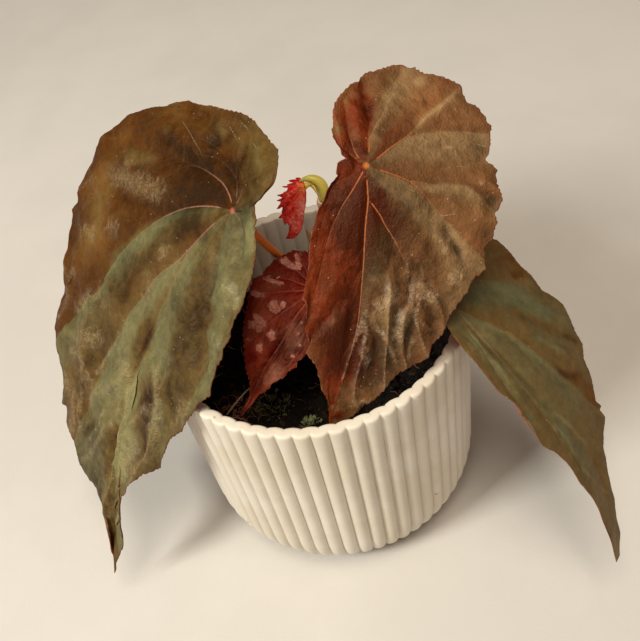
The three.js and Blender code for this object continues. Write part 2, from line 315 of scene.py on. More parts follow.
def pot_shape():
    """The section turned about the axis and then folded into flutes."""
    shape = bmesh.new()
    folds = shape.verts.layers.float.new("folds")
    hollow = shape.verts.layers.float.new("hollow")
    turn_section(shape, pot_section(), FLUTES * COLUMNS_PER_FLUTE, folds)
    for corner in shape.verts:
        x, y, z = corner.co
        radius = math.hypot(x, y)
        if radius < SMOOTH_FOOT:
            continue
        outside, inside = flute_waves(x, y)
        share = corner[folds]
        fold = share * outside * FLUTE_DEPTH + (1 - share) * inside * INNER_FLUTE_DEPTH
        foot_fade = min(1, (radius - SMOOTH_FOOT) / 2)
        corner.co.xy *= 1 - flute_share(z) * fold * foot_fade / radius
        corner[hollow] = outside if share > 0.5 else 1 - inside
    return shape


pot_finish, place = new_material("matt_glaze", Specular_IOR_Level=0.42, Coat_Weight=0.06, Coat_Roughness=0.5)
# Painted shade: the glaze is darkened, in patches, in the hollows of the flutes.
grime = ease(read_attribute(place.tree, "hollow"), 0.55, 1.0)
grime *= ease(noise_value(place, 90.0), 0.3, 0.8, 0.1, 0.45)
pores = speckled(place, 260.0, 0.16, 0.035)
colour = blend_colours(grime, mottled(place, 28.0, GLAZE_WHITE, GLAZE_CREAM), GROOVE_GRIME)
colour = blend_colours(pores * 0.7, colour, PORE_BROWN)
cloudy = noise_value(place, 55.0, 4.0)
height = noise_value(place, 900.0) * 0.05 - pores * 0.12 + cloudy * 0.25
dress(pot_finish, colour, ease(cloudy, 0.3, 0.7, 0.42, 0.6), height, 0.45)
make_piece("fluted_pot", pot_shape(), pot_finish, "pot", "pot")

# The soil: dark damp peat that fills the pot to 25 mm below the rim. Its top is crumbly, and it is
# pressed against the folds of the inner wall.
SOIL_HEIGHT = 61
SOIL_RINGS = 84
SOIL_COLUMNS = 300
SOIL_GAP = 0.12
SOIL_CORE = 20
DAMP_PEAT = (0.012, 0.007, 0.004)
WET_PEAT = (0.003, 0.002, 0.0015)
GRIT_BROWN = (0.10, 0.055, 0.03)
ALGAE_GREEN = (0.018, 0.022, 0.008)


def wandering(place, scale, low, high):
    """A number that wanders softly between low and high."""
    return ease(noise_value(place, scale), 0.3, 0.7, low, high)


def soil_top(x, y):
    """The height of the soil's surface: the plug's long waves, with clods and crumbs on them."""
    waves = math.sin(x / 3.1 + 1) * math.cos(y / 4.3) + 0.5 * math.sin((x + 2 * y) / 5.7)
    clods = 1.5 * noise.noise(Vector((x / 6, y / 6, 4.2)))
    lumps = abs(noise.noise(Vector((x / 2.3, y / 2.3, 9.1))))
    crumbs = 0.45 * noise.noise(Vector((x / 0.9, y / 0.9, 1.7)))
    return SOIL_HEIGHT + 1.1 * waves + clods + 2.2 * lumps + crumbs - 0.5


def soil_shape():
    """A disc of the soil's section turned about the axis, with its top lifted and its side folded."""
    shape = bmesh.new()
    top = shape.verts.layers.float.new("top")
    edge = inner_radius(SOIL_HEIGHT)
    section = [[edge * step / SOIL_RINGS, SOIL_HEIGHT, 1] for step in range(SOIL_RINGS + 1)]
    section += [[inner_radius(z), z, 0] for z in (57, 50, 40, 30, 20, 15, 11, 8, 5.5)]
    section += [[27, POT_FLOOR + 0.3, 0], [0, POT_FLOOR + 0.3, 0]]
    turn_section(shape, section, SOIL_COLUMNS, top)
    for corner in shape.verts:
        x, y, z = corner.co
        if math.hypot(x, y) > SOIL_CORE:
            fold = flute_share(z) * INNER_FLUTE_DEPTH * flute_waves(x, y)[1]
            corner.co.xy *= min(1, (inner_radius(z) - fold - SOIL_GAP) / inner_radius(z))
        if corner[top] > 0.5:
            corner.co.z = soil_top(corner.co.x, corner.co.y)
    return shape


soil_finish, place = new_material("damp_peat", Specular_IOR_Level=0.15)
colour = mottled(place, 170.0, DAMP_PEAT, WET_PEAT)
colour = blend_colours(speckled(place, 900.0, 0.35, 0.08) * 0.5, colour, GRIT_BROWN)
colour = blend_colours(ease(noise_value(place, 60.0), 0.56, 0.72, 0.0, 0.5), colour, ALGAE_GREEN)
dress(soil_finish, colour, wandering(place, 400.0, 0.6, 0.95), noise_value(place, 1500.0, 5.0, 0.7), 0.9)
make_piece("soil_bed", soil_shape(), soil_finish, "soil", "soil")

# Loose stuff on the soil: crumbs of peat, a few white grains of perlite, coconut fibres, a dry straw, and
# moss that has grown in five small cushions. None of it is fixed.
CRUMBS = 620
PERLITE = 9
FIBRES = 130
FIBRE_PILE = (-31, -14)
STRAW_ROUTE = [(-33.7, -17, 63.5), (-29, -15, 67), (-23.5, -13, 70)]
MOSS_PLACES = [[-18, -16, 6.5], [-16, 4, 6], [4, -22, 5], [-8, -27, 3.5], [20, 12, 6]]
BLADES_PER_CUSHION = 150
LOOSE_REACH = 41

dice = random.Random(7)


def inside_rim(margin):
    """A random place on the soil, kept clear of the wall."""
    turn = dice.uniform(0, 2 * math.pi)
    away = (inner_radius(SOIL_HEIGHT) - FLUTE_DEPTH - margin) * math.sqrt(dice.random())
    return away * math.cos(turn), away * math.sin(turn)


def random_step(spread):
    """A random step in space."""
    return Vector((dice.gauss(0, spread), dice.gauss(0, spread), dice.gauss(0, spread)))


def turned_towards(direction):
    """The turn that points an upright shape along a direction."""
    return direction.to_track_quat("Z", "Y").to_matrix().to_4x4()


def add_grain(shape, size, flatness=0.7):
    """One crumb: a lump of twenty faces, sunk a little in the soil."""
    x, y = inside_rim(size + 0.5)
    stretch = Matrix.Diagonal((dice.uniform(0.7, 1.3), dice.uniform(0.7, 1.3), flatness, 1))
    axis = random_step(1).normalized()
    turned = Matrix.Rotation(dice.uniform(0, 2 * math.pi), 4, axis)
    place = Matrix.Translation((x, y, soil_top(x, y) + size * 0.3)) @ turned @ stretch
    made = bmesh.ops.create_icosphere(shape, subdivisions=1, radius=size, matrix=place)
    for corner in made["verts"]:
        corner.co += random_step(1) * size * 0.12


crumbs = bmesh.new()
for number in range(CRUMBS):
    add_grain(crumbs, dice.uniform(0.35, 1.0) * dice.choice((0.7, 1, 1.5)))
crumb_finish, place = new_material("peat_crumbs", Specular_IOR_Level=0.2)
colour = mottled(place, 240.0, (0.034, 0.017, 0.008), (0.006, 0.004, 0.003))
dress(crumb_finish, colour, wandering(place, 600.0, 0.55, 0.95), noise_value(place, 2000.0, 4.0), 0.8)
make_piece("soil_crumbs", crumbs, crumb_finish, "soil")

perlite = bmesh.new()
for number in range(PERLITE):
    add_grain(perlite, dice.uniform(0.5, 0.95), 0.85)
perlite_finish, place = new_material("perlite", Specular_IOR_Level=0.3)
colour = mottled(place, 500.0, (0.40, 0.38, 0.33), (0.16, 0.15, 0.12))
dress(perlite_finish, colour, wandering(place, 900.0, 0.7, 0.95), noise_value(place, 3000.0), 0.8)
make_piece("perlite_grains", perlite, perlite_finish, "soil")


def along_list(values, share):
    """A value between even steps of a list."""
    place = min(max(share, 0), 1) * (len(values) - 1)
    step = min(int(place), len(values) - 2)
    return values[step] + (values[step + 1] - values[step]) * (place - step)


def smooth_step(values, place, step, last):
    """A place on a smooth curve through values after one of its steps, and the curve's slope there."""
    before, here, after, beyond = (values[numpy.clip(step + shift, 0, last)] for shift in (-1, 0, 1, 2))
    t = place - step
    leave, arrive = (after - before) / 2, (beyond - here) / 2
    cubic = 2 * here - 2 * after + leave + arrive
    square = -3 * here + 3 * after - 2 * leave - arrive
    return cubic * t ** 3 + square * t * t + leave * t + here, 3 * cubic * t * t + 2 * square * t + leave


def along_route(points, share):
    """The place and the direction on a smooth curve through points, at a share of its length."""
    last = len(points) - 1
    place = min(max(share, 0), 1) * last
    at, heading = smooth_step(points, place, min(int(place), last - 1), last)
    return at, heading.normalized()


def wrap_grid(shape, sides, steps, surface):
    """A closed tube: a grid laid on a surface, which keeps how far up and how far round each corner is."""
    kept = shape.verts.layers.float
    climb, around = (kept.get(name) or kept.new(name) for name in ("climb", "around"))
    grid = bmesh.ops.create_grid(shape, x_segments=sides, y_segments=steps, size=1)["verts"]
    for corner in grid:
        turn = (corner.co.x + 1) * math.pi
        share = (corner.co.y + 1) / 2
        corner.co = surface(turn, share)
        corner[climb] = share
        corner[around] = abs(turn / math.pi - 1)
    bmesh.ops.remove_doubles(shape, verts=grid, dist=WELD)
    bmesh.ops.holes_fill(shape, edges=[edge for edge in shape.edges if edge.is_boundary], sides=0)


def wrapped_tube(shape, route, widths, sides, steps, flatten=1.0):
    """A closed tube along a smooth route through points, whose radius follows widths from end to end."""
    points = [Vector(point) for point in route]
    frames = []
    sideways = None
    for step in range(steps + 1):
        at, heading = along_route(points, step / steps)
        if sideways is None:
            sideways = heading.orthogonal().normalized()
        sideways = (sideways - heading * sideways.dot(heading)).normalized()
        frames.append((at, sideways.copy(), heading.cross(sideways)))

    def surface(turn, share):
        at, first, second = frames[round(share * steps)]
        radius = widths(share) if callable(widths) else along_list(widths, share)
        return at + (first * math.cos(turn) + second * math.sin(turn) * flatten) * radius

    wrap_grid(shape, sides, steps, surface)


fibres = bmesh.new()
for number in range(FIBRES):
    x, y = inside_rim(4)
    if number % 3 == 0:
        x, y = (middle + dice.gauss(0, 3.5) for middle in FIBRE_PILE)
    if math.hypot(x, y) > LOOSE_REACH - 1:
        continue
    turn = dice.uniform(0, 2 * math.pi)
    route = []
    for step in range(4):
        lift = 0.25 + 0.9 * math.sin(math.pi * step / 3) * dice.random()
        route.append((x, y, soil_top(x, y) + lift))
        turn += dice.uniform(-0.7, 0.7)
        stride = dice.uniform(0.8, 2.2)
        x, y = x + stride * math.cos(turn), y + stride * math.sin(turn)
        if math.hypot(x, y) > LOOSE_REACH:
            break
    if len(route) > 2:
        wrapped_tube(fibres, route, [0.1, 0.12, 0.05], 3, 7)
fibre_finish, place = new_material("coconut_fibre", Specular_IOR_Level=0.4)
colour = mottled(place, 120.0, (0.70, 0.30, 0.17), (0.24, 0.095, 0.055))
dress(fibre_finish, colour, wandering(place, 700.0, 0.5, 0.85), noise_value(place, 2500.0, 2.0), 0.5)
make_piece("soil_fibres", fibres, fibre_finish, "soil")

straw = bmesh.new()
wrapped_tube(straw, STRAW_ROUTE, [0.28, 0.32, 0.26, 0.12], 7, 18, 0.6)
straw_finish, place = new_material("dry_straw", Specular_IOR_Level=0.5)
stretched = add_node(place.tree, "ShaderNodeMapping", {"Vector": place, "Scale": (2600.0, 2600.0, 300.0)})
grain = noise_value(Output(stretched), 1.0, 2.0)
colour = blend_colours(grain, (0.72, 0.52, 0.36), (0.42, 0.25, 0.15))
dress(straw_finish, colour, ease(grain, 0.3, 0.7, 0.4, 0.65), grain, 0.4)
make_piece("straw", straw, straw_finish, "soil")

moss = bmesh.new()
for middle_x, middle_y, reach in MOSS_PLACES:
    for number in range(BLADES_PER_CUSHION):
        turn, away = dice.uniform(0, 2 * math.pi), reach * math.sqrt(dice.random())
        x, y = middle_x + away * math.cos(turn), middle_y + away * math.sin(turn)
        if math.hypot(x, y) > LOOSE_REACH:
            continue
        crown = 2.2 * (1 - (away / reach) ** 2)
        lean = Vector((math.cos(turn) * away / reach, math.sin(turn) * away / reach, 1.1))
        lean += Vector((dice.gauss(0, 0.35), dice.gauss(0, 0.35), 0))
        length = dice.uniform(1.2, 2.4)
        stand = Matrix.Translation((x, y, soil_top(x, y) + crown)) @ turned_towards(lean)
        bmesh.ops.create_cone(
            moss, cap_ends=True, cap_tris=True, segments=4, radius1=dice.uniform(0.22, 0.4), radius2=0.02,
            depth=length, matrix=stand @ Matrix.Diagonal((1, 0.35, 1, 1)))
moss_finish, place = new_material("moss", Specular_IOR_Level=0.3)
tall = ease(Output(add_node(place.tree, "ShaderNodeSeparateXYZ", {0: place}), 2), 0.060, 0.067, 0.0, 0.6)
colour = mottled(place, 200.0, (0.32, 0.34, 0.15), (0.11, 0.135, 0.06))
colour = blend_colours(tall, colour, (0.40, 0.40, 0.19))
dress(moss_finish, colour, wandering(place, 600.0, 0.6, 0.9), noise_value(place, 2200.0), 0.5)
make_piece("moss_cushions", moss, moss_finish, "soil")

# The main stem and the leaf stalks: fleshy round shoots, pale and woody low down on the stem and
# glassy orange-red on the stalks. Each stalk grows out of the stem at a swollen ring, a node.
STEM_ROUTE = [[5.5, 18.5, 50], [7.4, 17.5, 66], [9.8, 16.4, 84], [11.2, 13.8, 101], [11.6, 9.3, 119]]
STEM_RADIUS = 2.4
STEM_NODES = (0.36, 0.52, 0.63, 0.82, 0.97)
NODE_SWELLING = 0.32
NODE_LENGTH = 0.022
HAIR_RADIUS = 0.035
GLAND_PALE = (0.75, 0.55, 0.38)


def stem_width(share):
    """The stem's radius: tapered, and swollen at each node."""
    taper = STEM_RADIUS * (0.95 - 0.18 * share)
    swellings = sum(math.exp(-((share - place) / NODE_LENGTH) ** 2) for place in STEM_NODES)
    return taper + NODE_SWELLING * swellings


def shoot_finish(name, low, high, streak, gloss):
    """A fleshy shoot's material: a colour from foot to top, streaks along it, and small pale glands."""
    material, place = new_material(
        name, Specular_IOR_Level=0.5, Coat_Weight=0.25, Coat_Roughness=0.25, Subsurface_Weight=0.12,
        Subsurface_Scale=0.002)
    climb, around = (read_attribute(place.tree, name) for name in ("climb", "around"))
    blotches = noise_value(place, 160.0)
    colour = blend_colours(ease(climb + (blotches - 0.5) * 0.5, 0.1, 0.9), low, high)
    lines = add_node(place.tree, "ShaderNodeCombineXYZ", {0: around * 14.0, 1: climb * 6.0})
    streaks = noise_value(Output(lines), 1.0)
    colour = blend_colours(ease(streaks, 0.45, 0.75, 0.0, 0.45), colour, streak)
    glands = speckled(place, 1100.0, 0.25, 0.12)
    colour = blend_colours(glands * 0.4, colour, GLAND_PALE)
    dress(material, colour, ease(blotches, 0.3, 0.7, gloss, gloss + 0.15), streaks * 0.3 + glands * 0.15, 0.5)
    return material


def shoot_shape(route, widths, sides, steps):
    """A shoot by itself, as a closed tube."""
    shape = bmesh.new()
    wrapped_tube(shape, route, widths, sides, steps)
    return shape


stem_finish = shoot_finish("stem_bark", (0.34, 0.16, 0.08), (0.90, 0.70, 0.46), (0.88, 0.58, 0.44), 0.4)
make_piece("main_stem", shoot_shape(STEM_ROUTE, stem_width, 28, 150), stem_finish, "stem", "stem")

stalk_finish = shoot_finish("stalk_skin", (0.95, 0.24, 0.026), (1.0, 0.28, 0.035), (1.0, 0.52, 0.15), 0.3)
wine_stalk_finish = shoot_finish(
    "wine_stalk_skin", (0.60, 0.12, 0.05), (0.70, 0.20, 0.12), (0.80, 0.38, 0.26), 0.32)
green_stalk_finish = shoot_finish(
    "green_stalk_skin", (0.72, 0.58, 0.06), (0.80, 0.62, 0.08), (0.88, 0.76, 0.22), 0.35)

hairs = bmesh.new()


def grow_hairs(route, radius, count, low=0.05, high=0.95):
    """Short soft hairs all round a shoot, each a thin cone of three sides."""
    points = [Vector(point) for point in route]
    for number in range(count):
        at, heading = along_route(points, dice.uniform(low, high))
        turn = dice.uniform(0, 2 * math.pi)
        first = heading.orthogonal().normalized()
        out = first * math.cos(turn) + heading.cross(first) * math.sin(turn)
        lean = out + random_step(0.3)
        length = dice.uniform(0.5, 1.1)
        middle = at + out * radius * 0.95 + lean.normalized() * length / 2
        bmesh.ops.create_cone(
            hairs, cap_ends=True, cap_tris=True, segments=3, radius1=HAIR_RADIUS, radius2=HAIR_RADIUS * 0.15,
            depth=length, matrix=Matrix.Translation(middle) @ turned_towards(lean))


grow_hairs(STEM_ROUTE, STEM_RADIUS * 0.85, count=260, low=0.35, high=0.95)

# The blades: five leaves at five ages, each a thin fleshy sheet that spreads from its stalk in a fan
# of veins. Each vein lies in a groove above and stands out as a rib below, and the skin swells between.
BLADE_THICKNESS = 0.55
THINNER_AT_EDGE = 0.45
RING_CROWDING = 0.9
POLE_WELD = 0.01
VEIN_KNOTS = 26
FAR_AWAY = 50.0
SCRATCH_WIDTH = 0.11
LEAF_SPECK = (0.62, 0.50, 0.36)
SATIN_TINT = (1.0, 0.78, 0.55)
COAT_TINT = (1, 0.9, 0.75)
STALK_PROFILE = (1.35, 1.08, 1.0, 0.97, 0.95, 0.95, 0.97, 1.05, 1.3)
STALK_ARRIVAL = 4


def unit(values):
    """A direction of length one."""
    direction = numpy.array(values, float)
    return direction / numpy.linalg.norm(direction)


def smooth(value, start, end):
    """The value's place between start and end, eased, 0 to 1."""
    share = numpy.clip((value - start) / (end - start), 0, 1)
    return share * share * (3 - 2 * share)


def between_rows(values, place):
    """Values between the rows of one side of a margin, on a smooth curve through them."""
    last = len(values) - 1
    return smooth_step(values, place, numpy.clip(numpy.floor(place).astype(int), 0, last), last)[0]


class Blade:
    """A leaf blade: where it stands, how it bends, and its margin as a fan of [angle, length] rows.

    Notches are the margin's own nicks and points, as [row, degrees, millimetres] off that smooth fan.
    """

    def __init__(self, junction, facing, tipward, droop, arch, swirl, margin, tip_row, notches):
        self.junction = numpy.array(junction, float)
        self.normal = unit(facing)
        tipward = numpy.array(tipward, float)
        self.tipward = unit(tipward - self.normal * (tipward @ self.normal))
        self.across = numpy.cross(self.normal, self.tipward)
        self.droop, self.arch, self.swirl = (math.radians(value) for value in (droop, arch, swirl))
        self.margin = numpy.array(margin, float)
        self.notches = numpy.array(notches, float).T
        self.tip_row = tip_row
        self.last_row = len(margin) - 1

    def fan(self, row):
        """The angle in radians and the length in millimetres of the vein at a row, or between two."""
        row = numpy.asarray(row, float)
        sides = []
        for rows, place in (
            (self.margin[: self.tip_row + 1], numpy.clip(row, 0, self.tip_row)),
            (self.margin[self.tip_row:], numpy.clip(row - self.tip_row, 0, self.last_row - self.tip_row)),
        ):
            sides.append([between_rows(rows[:, column], place) for column in (0, 1)])
        angle, length = (numpy.where(row <= self.tip_row, sides[0][k], sides[1][k]) for k in (0, 1))
        return numpy.radians(angle), length

    def spread(self, row, reach):
        """The fan's angle, the angle with the swirl and notches, and the distance from the junction."""
        angle, length = self.fan(row)
        rows, turns, growths = self.notches
        turn = numpy.interp(row, rows, turns, 0, 0)
        growth = numpy.interp(row, rows, growths, 0, 0)
        fade = 2 + 2.2 * numpy.abs(growth) + 0.05 * numpy.abs(turn) * length
        share = 1 - smooth(length * (1 - reach), 0, fade)
        turned = angle + self.swirl * (reach - 1) + numpy.radians(turn) * share
        return angle, turned, length * reach + growth * share

    def flat(self, row, reach):
        """A place on the blade pressed flat, in millimetres from the junction."""
        angle, turned, away = self.spread(row, reach)
        return away * numpy.cos(turned), away * numpy.sin(turned)

    def point(self, row, reach, height):
        """A place on the blade as it hangs, height millimetres above its middle surface."""
        angle, turned, away = self.spread(row, reach)
        bend = self.droop * numpy.cos(angle) ** 2 + self.arch * numpy.sin(angle) ** 2
        out = numpy.cos(turned)[..., None] * self.tipward + numpy.sin(turned)[..., None] * self.across
        arc = bend * away
        along = numpy.sin(arc) / bend + height * numpy.sin(arc)
        lift = (numpy.cos(arc) - 1) / bend + height * numpy.cos(arc)
        return self.junction + out * along[..., None] + self.normal * lift[..., None]

    def even_rows(self, columns):
        """Rows evenly spaced along the edge, with one at the very tip, and how far round each is."""
        fineness = 60
        fine = numpy.linspace(0, self.last_row, self.last_row * fineness + 1)
        edge = self.point(fine, numpy.ones_like(fine), numpy.zeros_like(fine))
        gone = numpy.concatenate([[0], numpy.cumsum(numpy.linalg.norm(numpy.diff(edge, axis=0), axis=1))])
        tip = gone[self.tip_row * fineness]
        first = max(2, round(columns * tip / gone[-1]))
        marks = numpy.concatenate([
            numpy.linspace(0, tip, first + 1), numpy.linspace(tip, gone[-1], columns - first + 1)[1:]])
        return numpy.interp(marks, gone, fine), marks


def vein_rows(vein, reach, column=0):
    """The row that a vein passes at each reach, or how strongly it shows there, from its knots."""
    return numpy.interp(reach, [knot[1] for knot in vein], [knot[column] for knot in vein])


def flat_line(blade, knots):
    """A line through [row, reach] knots on the flat blade, with how full it is: thin at its ends."""
    rows, reaches = numpy.array(knots, float).T
    fine = numpy.linspace(0, len(knots) - 1, 4 * (len(knots) - 1) + 1)
    steps = numpy.arange(len(knots))
    fullness = numpy.clip(numpy.sin(math.pi * fine / fine[-1]) * 1.6, 0.25, 1)
    places = blade.flat(numpy.interp(fine, steps, rows), numpy.interp(fine, steps, reaches))
    return list(zip(*places, fullness))


def line_field(x, y, lines):
    """Signed and plain distance to the nearest line, and that line's own third value there."""
    side = numpy.full(x.shape, FAR_AWAY)
    near = numpy.full(x.shape, FAR_AWAY)
    carried = numpy.zeros(x.shape)
    for line in lines:
        for start, end in zip(line, line[1:]):
            dx, dy = end[0] - start[0], end[1] - start[1]
            size = math.hypot(dx, dy)
            if size < 1e-6:
                continue
            share = numpy.clip(((x - start[0]) * dx + (y - start[1]) * dy) / (size * size), 0, 1)
            away = numpy.hypot(x - start[0] - share * dx, y - start[1] - share * dy)
            closer = away < near
            side[closer] = numpy.copysign(away, (x - start[0]) * dy - (y - start[1]) * dx)[closer]
            near[closer] = away[closer]
            if len(start) > 2:
                carried[closer] = (start[2] + (end[2] - start[2]) * share)[closer]
    return side, near, carried


def noise_field(x, y, size, seed):
    """Soft noise from -1 to 1 over the flat blade."""
    values = [noise.noise(Vector((px / size, py / size, seed))) for px, py in zip(x.ravel(), y.ravel())]
    return numpy.array(values).reshape(x.shape)


def edge_noise(marks, size, lane, seed):
    """Soft noise from -1 to 1 along the edge."""
    return numpy.array([noise.noise(Vector((mark / size, lane, seed))) for mark in marks])


def branch_lines(blade, veins, luck, count):
    """Side veins that leave the main ones in pairs and bend towards the edge."""
    lines = []
    for number, vein in enumerate(veins):
        length = float(blade.fan(vein[-1][0])[1])
        steps = max(3, round(count * length / 60))
        for neighbour in (number - 1, number + 1):
            if not 0 <= neighbour < len(veins):
                continue
            for step in range(steps):
                start = 0.22 + 0.68 * (step + luck.uniform(0.2, 0.8)) / steps
                here = float(vein_rows(vein, start))
                end = min(0.97, start + luck.uniform(0.12, 0.2))
                there = float(vein_rows(veins[neighbour], end))
                if abs(there - here) < 0.15 or abs(there - here) > 5:
                    continue
                goal = float(vein_rows(vein, end))
                goal += (there - goal) * luck.uniform(0.42, 0.6)
                shares = (0, 0.25, 0.5, 0.75, 1)
                rows = numpy.array([here + (goal - here) * share ** 1.15 for share in shares])
                reaches = numpy.array([start + (end - start) * share for share in shares])
                lines.append(list(zip(*blade.flat(rows, reaches))))
    return lines


def main_lines(blade, veins):
    """The main veins on the flat blade, each place with how strongly the vein shows."""
    knots = numpy.linspace(0.02, 0.98, VEIN_KNOTS)
    lines = []
    for vein in veins:
        own = knots[(knots >= vein[0][1]) & (knots <= vein[-1][1])]
        lines.append(list(zip(*blade.flat(vein_rows(vein, own), own), vein_rows(vein, own, 2))))
    return lines


def blade_fields(blade, look, rows, marks, rings):
    """A blade's fan, its relief, its ribs below and what its skin reads, as arrays by ring and column.

    Veins are knots of [row, reach, how strongly it shows]. Tints run from cool 0 over body 0.5 to warm 1,
    as [start, end] for each field between two veins. Strokes are soft ridges, furrows and washes of colour,
    as [width, height, redness, lightness, gloss, knots of [row, reach]]; their lightness is partly the leaf's
    own tone and partly painted light and shade, and their gloss also lays a painted pale sheen. Pleats are
    bands of folds, as [first row, last row, reach they start at, height, gloss, folds per row], with painted
    shade in their creases and painted light and sheen on their ridges. Scratches are thin lines of pale dust.
    """
    luck = random.Random(look["seed"])
    row, reach = numpy.meshgrid(rows, rings)
    x, y = blade.flat(row, reach)
    length = blade.fan(row)[1]
    veins = look["veins"]
    scratches = [flat_line(blade, line) for line in look.get("scratches", ())]
    main_side, main_near, main_show = line_field(x, y, main_lines(blade, veins))
    branch_side, branch_near, unused = line_field(x, y, branch_lines(blade, veins, luck, look["branching"]))
    scratch_side, scratch_near, unused = line_field(x, y, scratches)

    tint, shade, lustre = (numpy.zeros(x.shape) for field in range(3))
    edges = [numpy.zeros(x.shape)] + [vein_rows(vein, reach) for vein in veins]
    edges.append(numpy.full(x.shape, blade.last_row))
    for (start, end), low, high in zip(look["tints"], edges, edges[1:]):
        inside = (row >= low) & (row < high + 1e-9)
        place = numpy.clip((row - low) / numpy.maximum(high - low, 0.02), 0, 1)
        tint[inside] = (start + (end - start) * smooth(place, 0.1, 0.9))[inside]
    tint += look["redder"] * smooth(reach, 0.55, 1.0)

    size = look["pucker_size"]
    settled = smooth(reach, 0.05, 0.35)
    relief = look["quilt"] * (1 - numpy.exp(-main_near / (3.4 * size)) - 0.72 * settled)
    swollen = 1 - numpy.exp(-branch_near / (1.5 * size)) - 0.5
    relief += look["veining"] * swollen * smooth(reach, 0.12, 0.4)
    folds = noise_field(x, y, 11.0 * size, look["seed"] + 1.5)
    relief += look["crumple"] * 1.6 * (0.25 - numpy.abs(folds)) * smooth(reach, 0.15, 0.7)
    creases = noise_field(x, y, 4.0 * size, look["seed"] + 2.5)
    relief += look["crumple"] * 0.5 * (0.25 - numpy.abs(creases)) * smooth(reach, 0.1, 0.6)
    # Each stroke lifts or sinks the relief and washes tint, lightness and gloss; the lightness is partly own
    # tone and partly painted light and shade, and the gloss also lays a painted sheen.
    for width, height, redden, lighten, gloss, places in look["strokes"]:
        if len(places) > 1:
            unused, away, fullness = line_field(x, y, [flat_line(blade, places)])
        else:
            px, py = blade.flat(numpy.array(float(places[0][0])), places[0][1])
            away, fullness = numpy.hypot(x - px, y - py), 1
        share = numpy.exp(-(away / width) ** 2) * fullness
        relief += height * numpy.exp(-(away / (1.35 * width)) ** 2) * fullness
        tint += redden * share
        shade += lighten * share
        lustre = numpy.maximum(lustre, gloss * numpy.exp(-(away / (2.2 * width)) ** 2) * fullness)
    relief *= 1 - 0.7 * smooth(reach, 0.86, 1.0)
    for low, high, start, height, sheen, count in look.get("pleats", ()):
        band = smooth(row, low, low + 0.7) * (1 - smooth(row, high - 0.7, high))
        band *= smooth(reach, start, start + 0.3)
        waves = noise_field(row * count + 1.5 * reach, reach * 3.5, 1.0, look["seed"] + 3.5)
        fold = 0.25 - numpy.abs(waves)
        relief += height * fold * band
        # Painted shade in the creases of the pleats, painted light on their ridges, and a painted sheen laid
        # along the ridges.
        shade += 1.1 * (fold - 0.08) * band
        lustre = numpy.maximum(lustre, sheen * smooth(fold, 0.1, 0.24) * band)
    ripple = edge_noise(marks, 4.5 * size, 0, look["seed"])
    relief += look["wave"] * ripple[None, :] * smooth(reach, 0.8, 1.0)
    rib = look["rib"] * numpy.exp(-(main_near / 0.7) ** 2) * (1 - 0.75 * reach)
    rib += 0.3 * look["rib"] * numpy.exp(-(branch_near / 0.45) ** 2) * (1 - 0.6 * reach)

    jitter = edge_noise(marks, 6, 5, look["seed"])
    saw = numpy.mod(marks / look["tooth_spacing"] + 1.2 * jitter, 1.0)
    bite = look["tooth"] * (0.75 + 0.5 * jitter) * numpy.where(saw < 0.62, saw / 0.62, (1 - saw) / 0.38)
    pull = bite[None, :] * smooth(reach, 0.9, 1.0) * smooth(length, 3, 10)
    reach = numpy.clip(reach - pull / length, 0, 1)
    skin = {
        "reach": reach, "tint": tint, "shade": shade, "lustre": lustre, "edge": length * (1 - reach),
        "main_side": main_side, "main_near": main_near, "main_show": main_show, "branch_side": branch_side,
        "branch_near": branch_near, "scratch_side": scratch_side, "scratch_near": scratch_near}
    return row, relief, rib, (x, y), skin


def blade_shape(blade, look):
    """A blade: a grid laid on the fan, thickened downwards, and closed round its edge and its notch."""
    columns, ring_count = look["mesh"]
    rows, marks = blade.even_rows(columns)
    rings = numpy.linspace(0, 1, ring_count + 1) ** RING_CROWDING
    row, relief, rib, (flat_x, flat_y), skin = blade_fields(blade, look, rows, marks, rings)
    thin = BLADE_THICKNESS * look["thickness"] * (1 - THINNER_AT_EDGE * smooth(skin["reach"], 0.6, 1.0))
    upper = blade.point(row, skin["reach"], relief)
    lower = blade.point(row, skin["reach"], relief - thin - rib)
    shape = bmesh.new()
    layers = {name: shape.verts.layers.float.new(name) for name in skin}
    below = shape.verts.layers.float.new("below")
    pressed = shape.verts.layers.float_vector.new("pressed")
    bmesh.ops.create_grid(shape, x_segments=columns, y_segments=ring_count, size=1)
    raised = bmesh.ops.extrude_face_region(shape, geom=shape.faces[:])["geom"]
    raised = {item for item in raised if isinstance(item, bmesh.types.BMVert)}
    poles = []
    for corner in shape.verts:
        column = round((corner.co.x + 1) / 2 * columns)
        ring = round((corner.co.y + 1) / 2 * ring_count)
        above = corner in raised
        corner.co = (upper if above else lower)[ring, column]
        for name, values in skin.items():
            corner[layers[name]] = values[ring, column]
        corner[below] = 0.0 if above else 1.0
        corner[pressed] = (flat_x[ring, column], flat_y[ring, column], 0.0)
        if ring == 0:
            poles.append(corner)
    bmesh.ops.remove_doubles(shape, verts=poles, dist=POLE_WELD)
    return shape


def largest(first, second):
    """The larger of two numbers."""
    return compute("MAXIMUM", first, second)


def drawn_line(tree, name, width):
    """A line from a blade's signed and plain distances to it, with soft sides, 0 to 1."""
    side = abs(read_attribute(tree, name + "_side")) / width
    return ease(side, 1.25, 0.5) * ease(read_attribute(tree, name + "_near"), 2.0, 1.2)


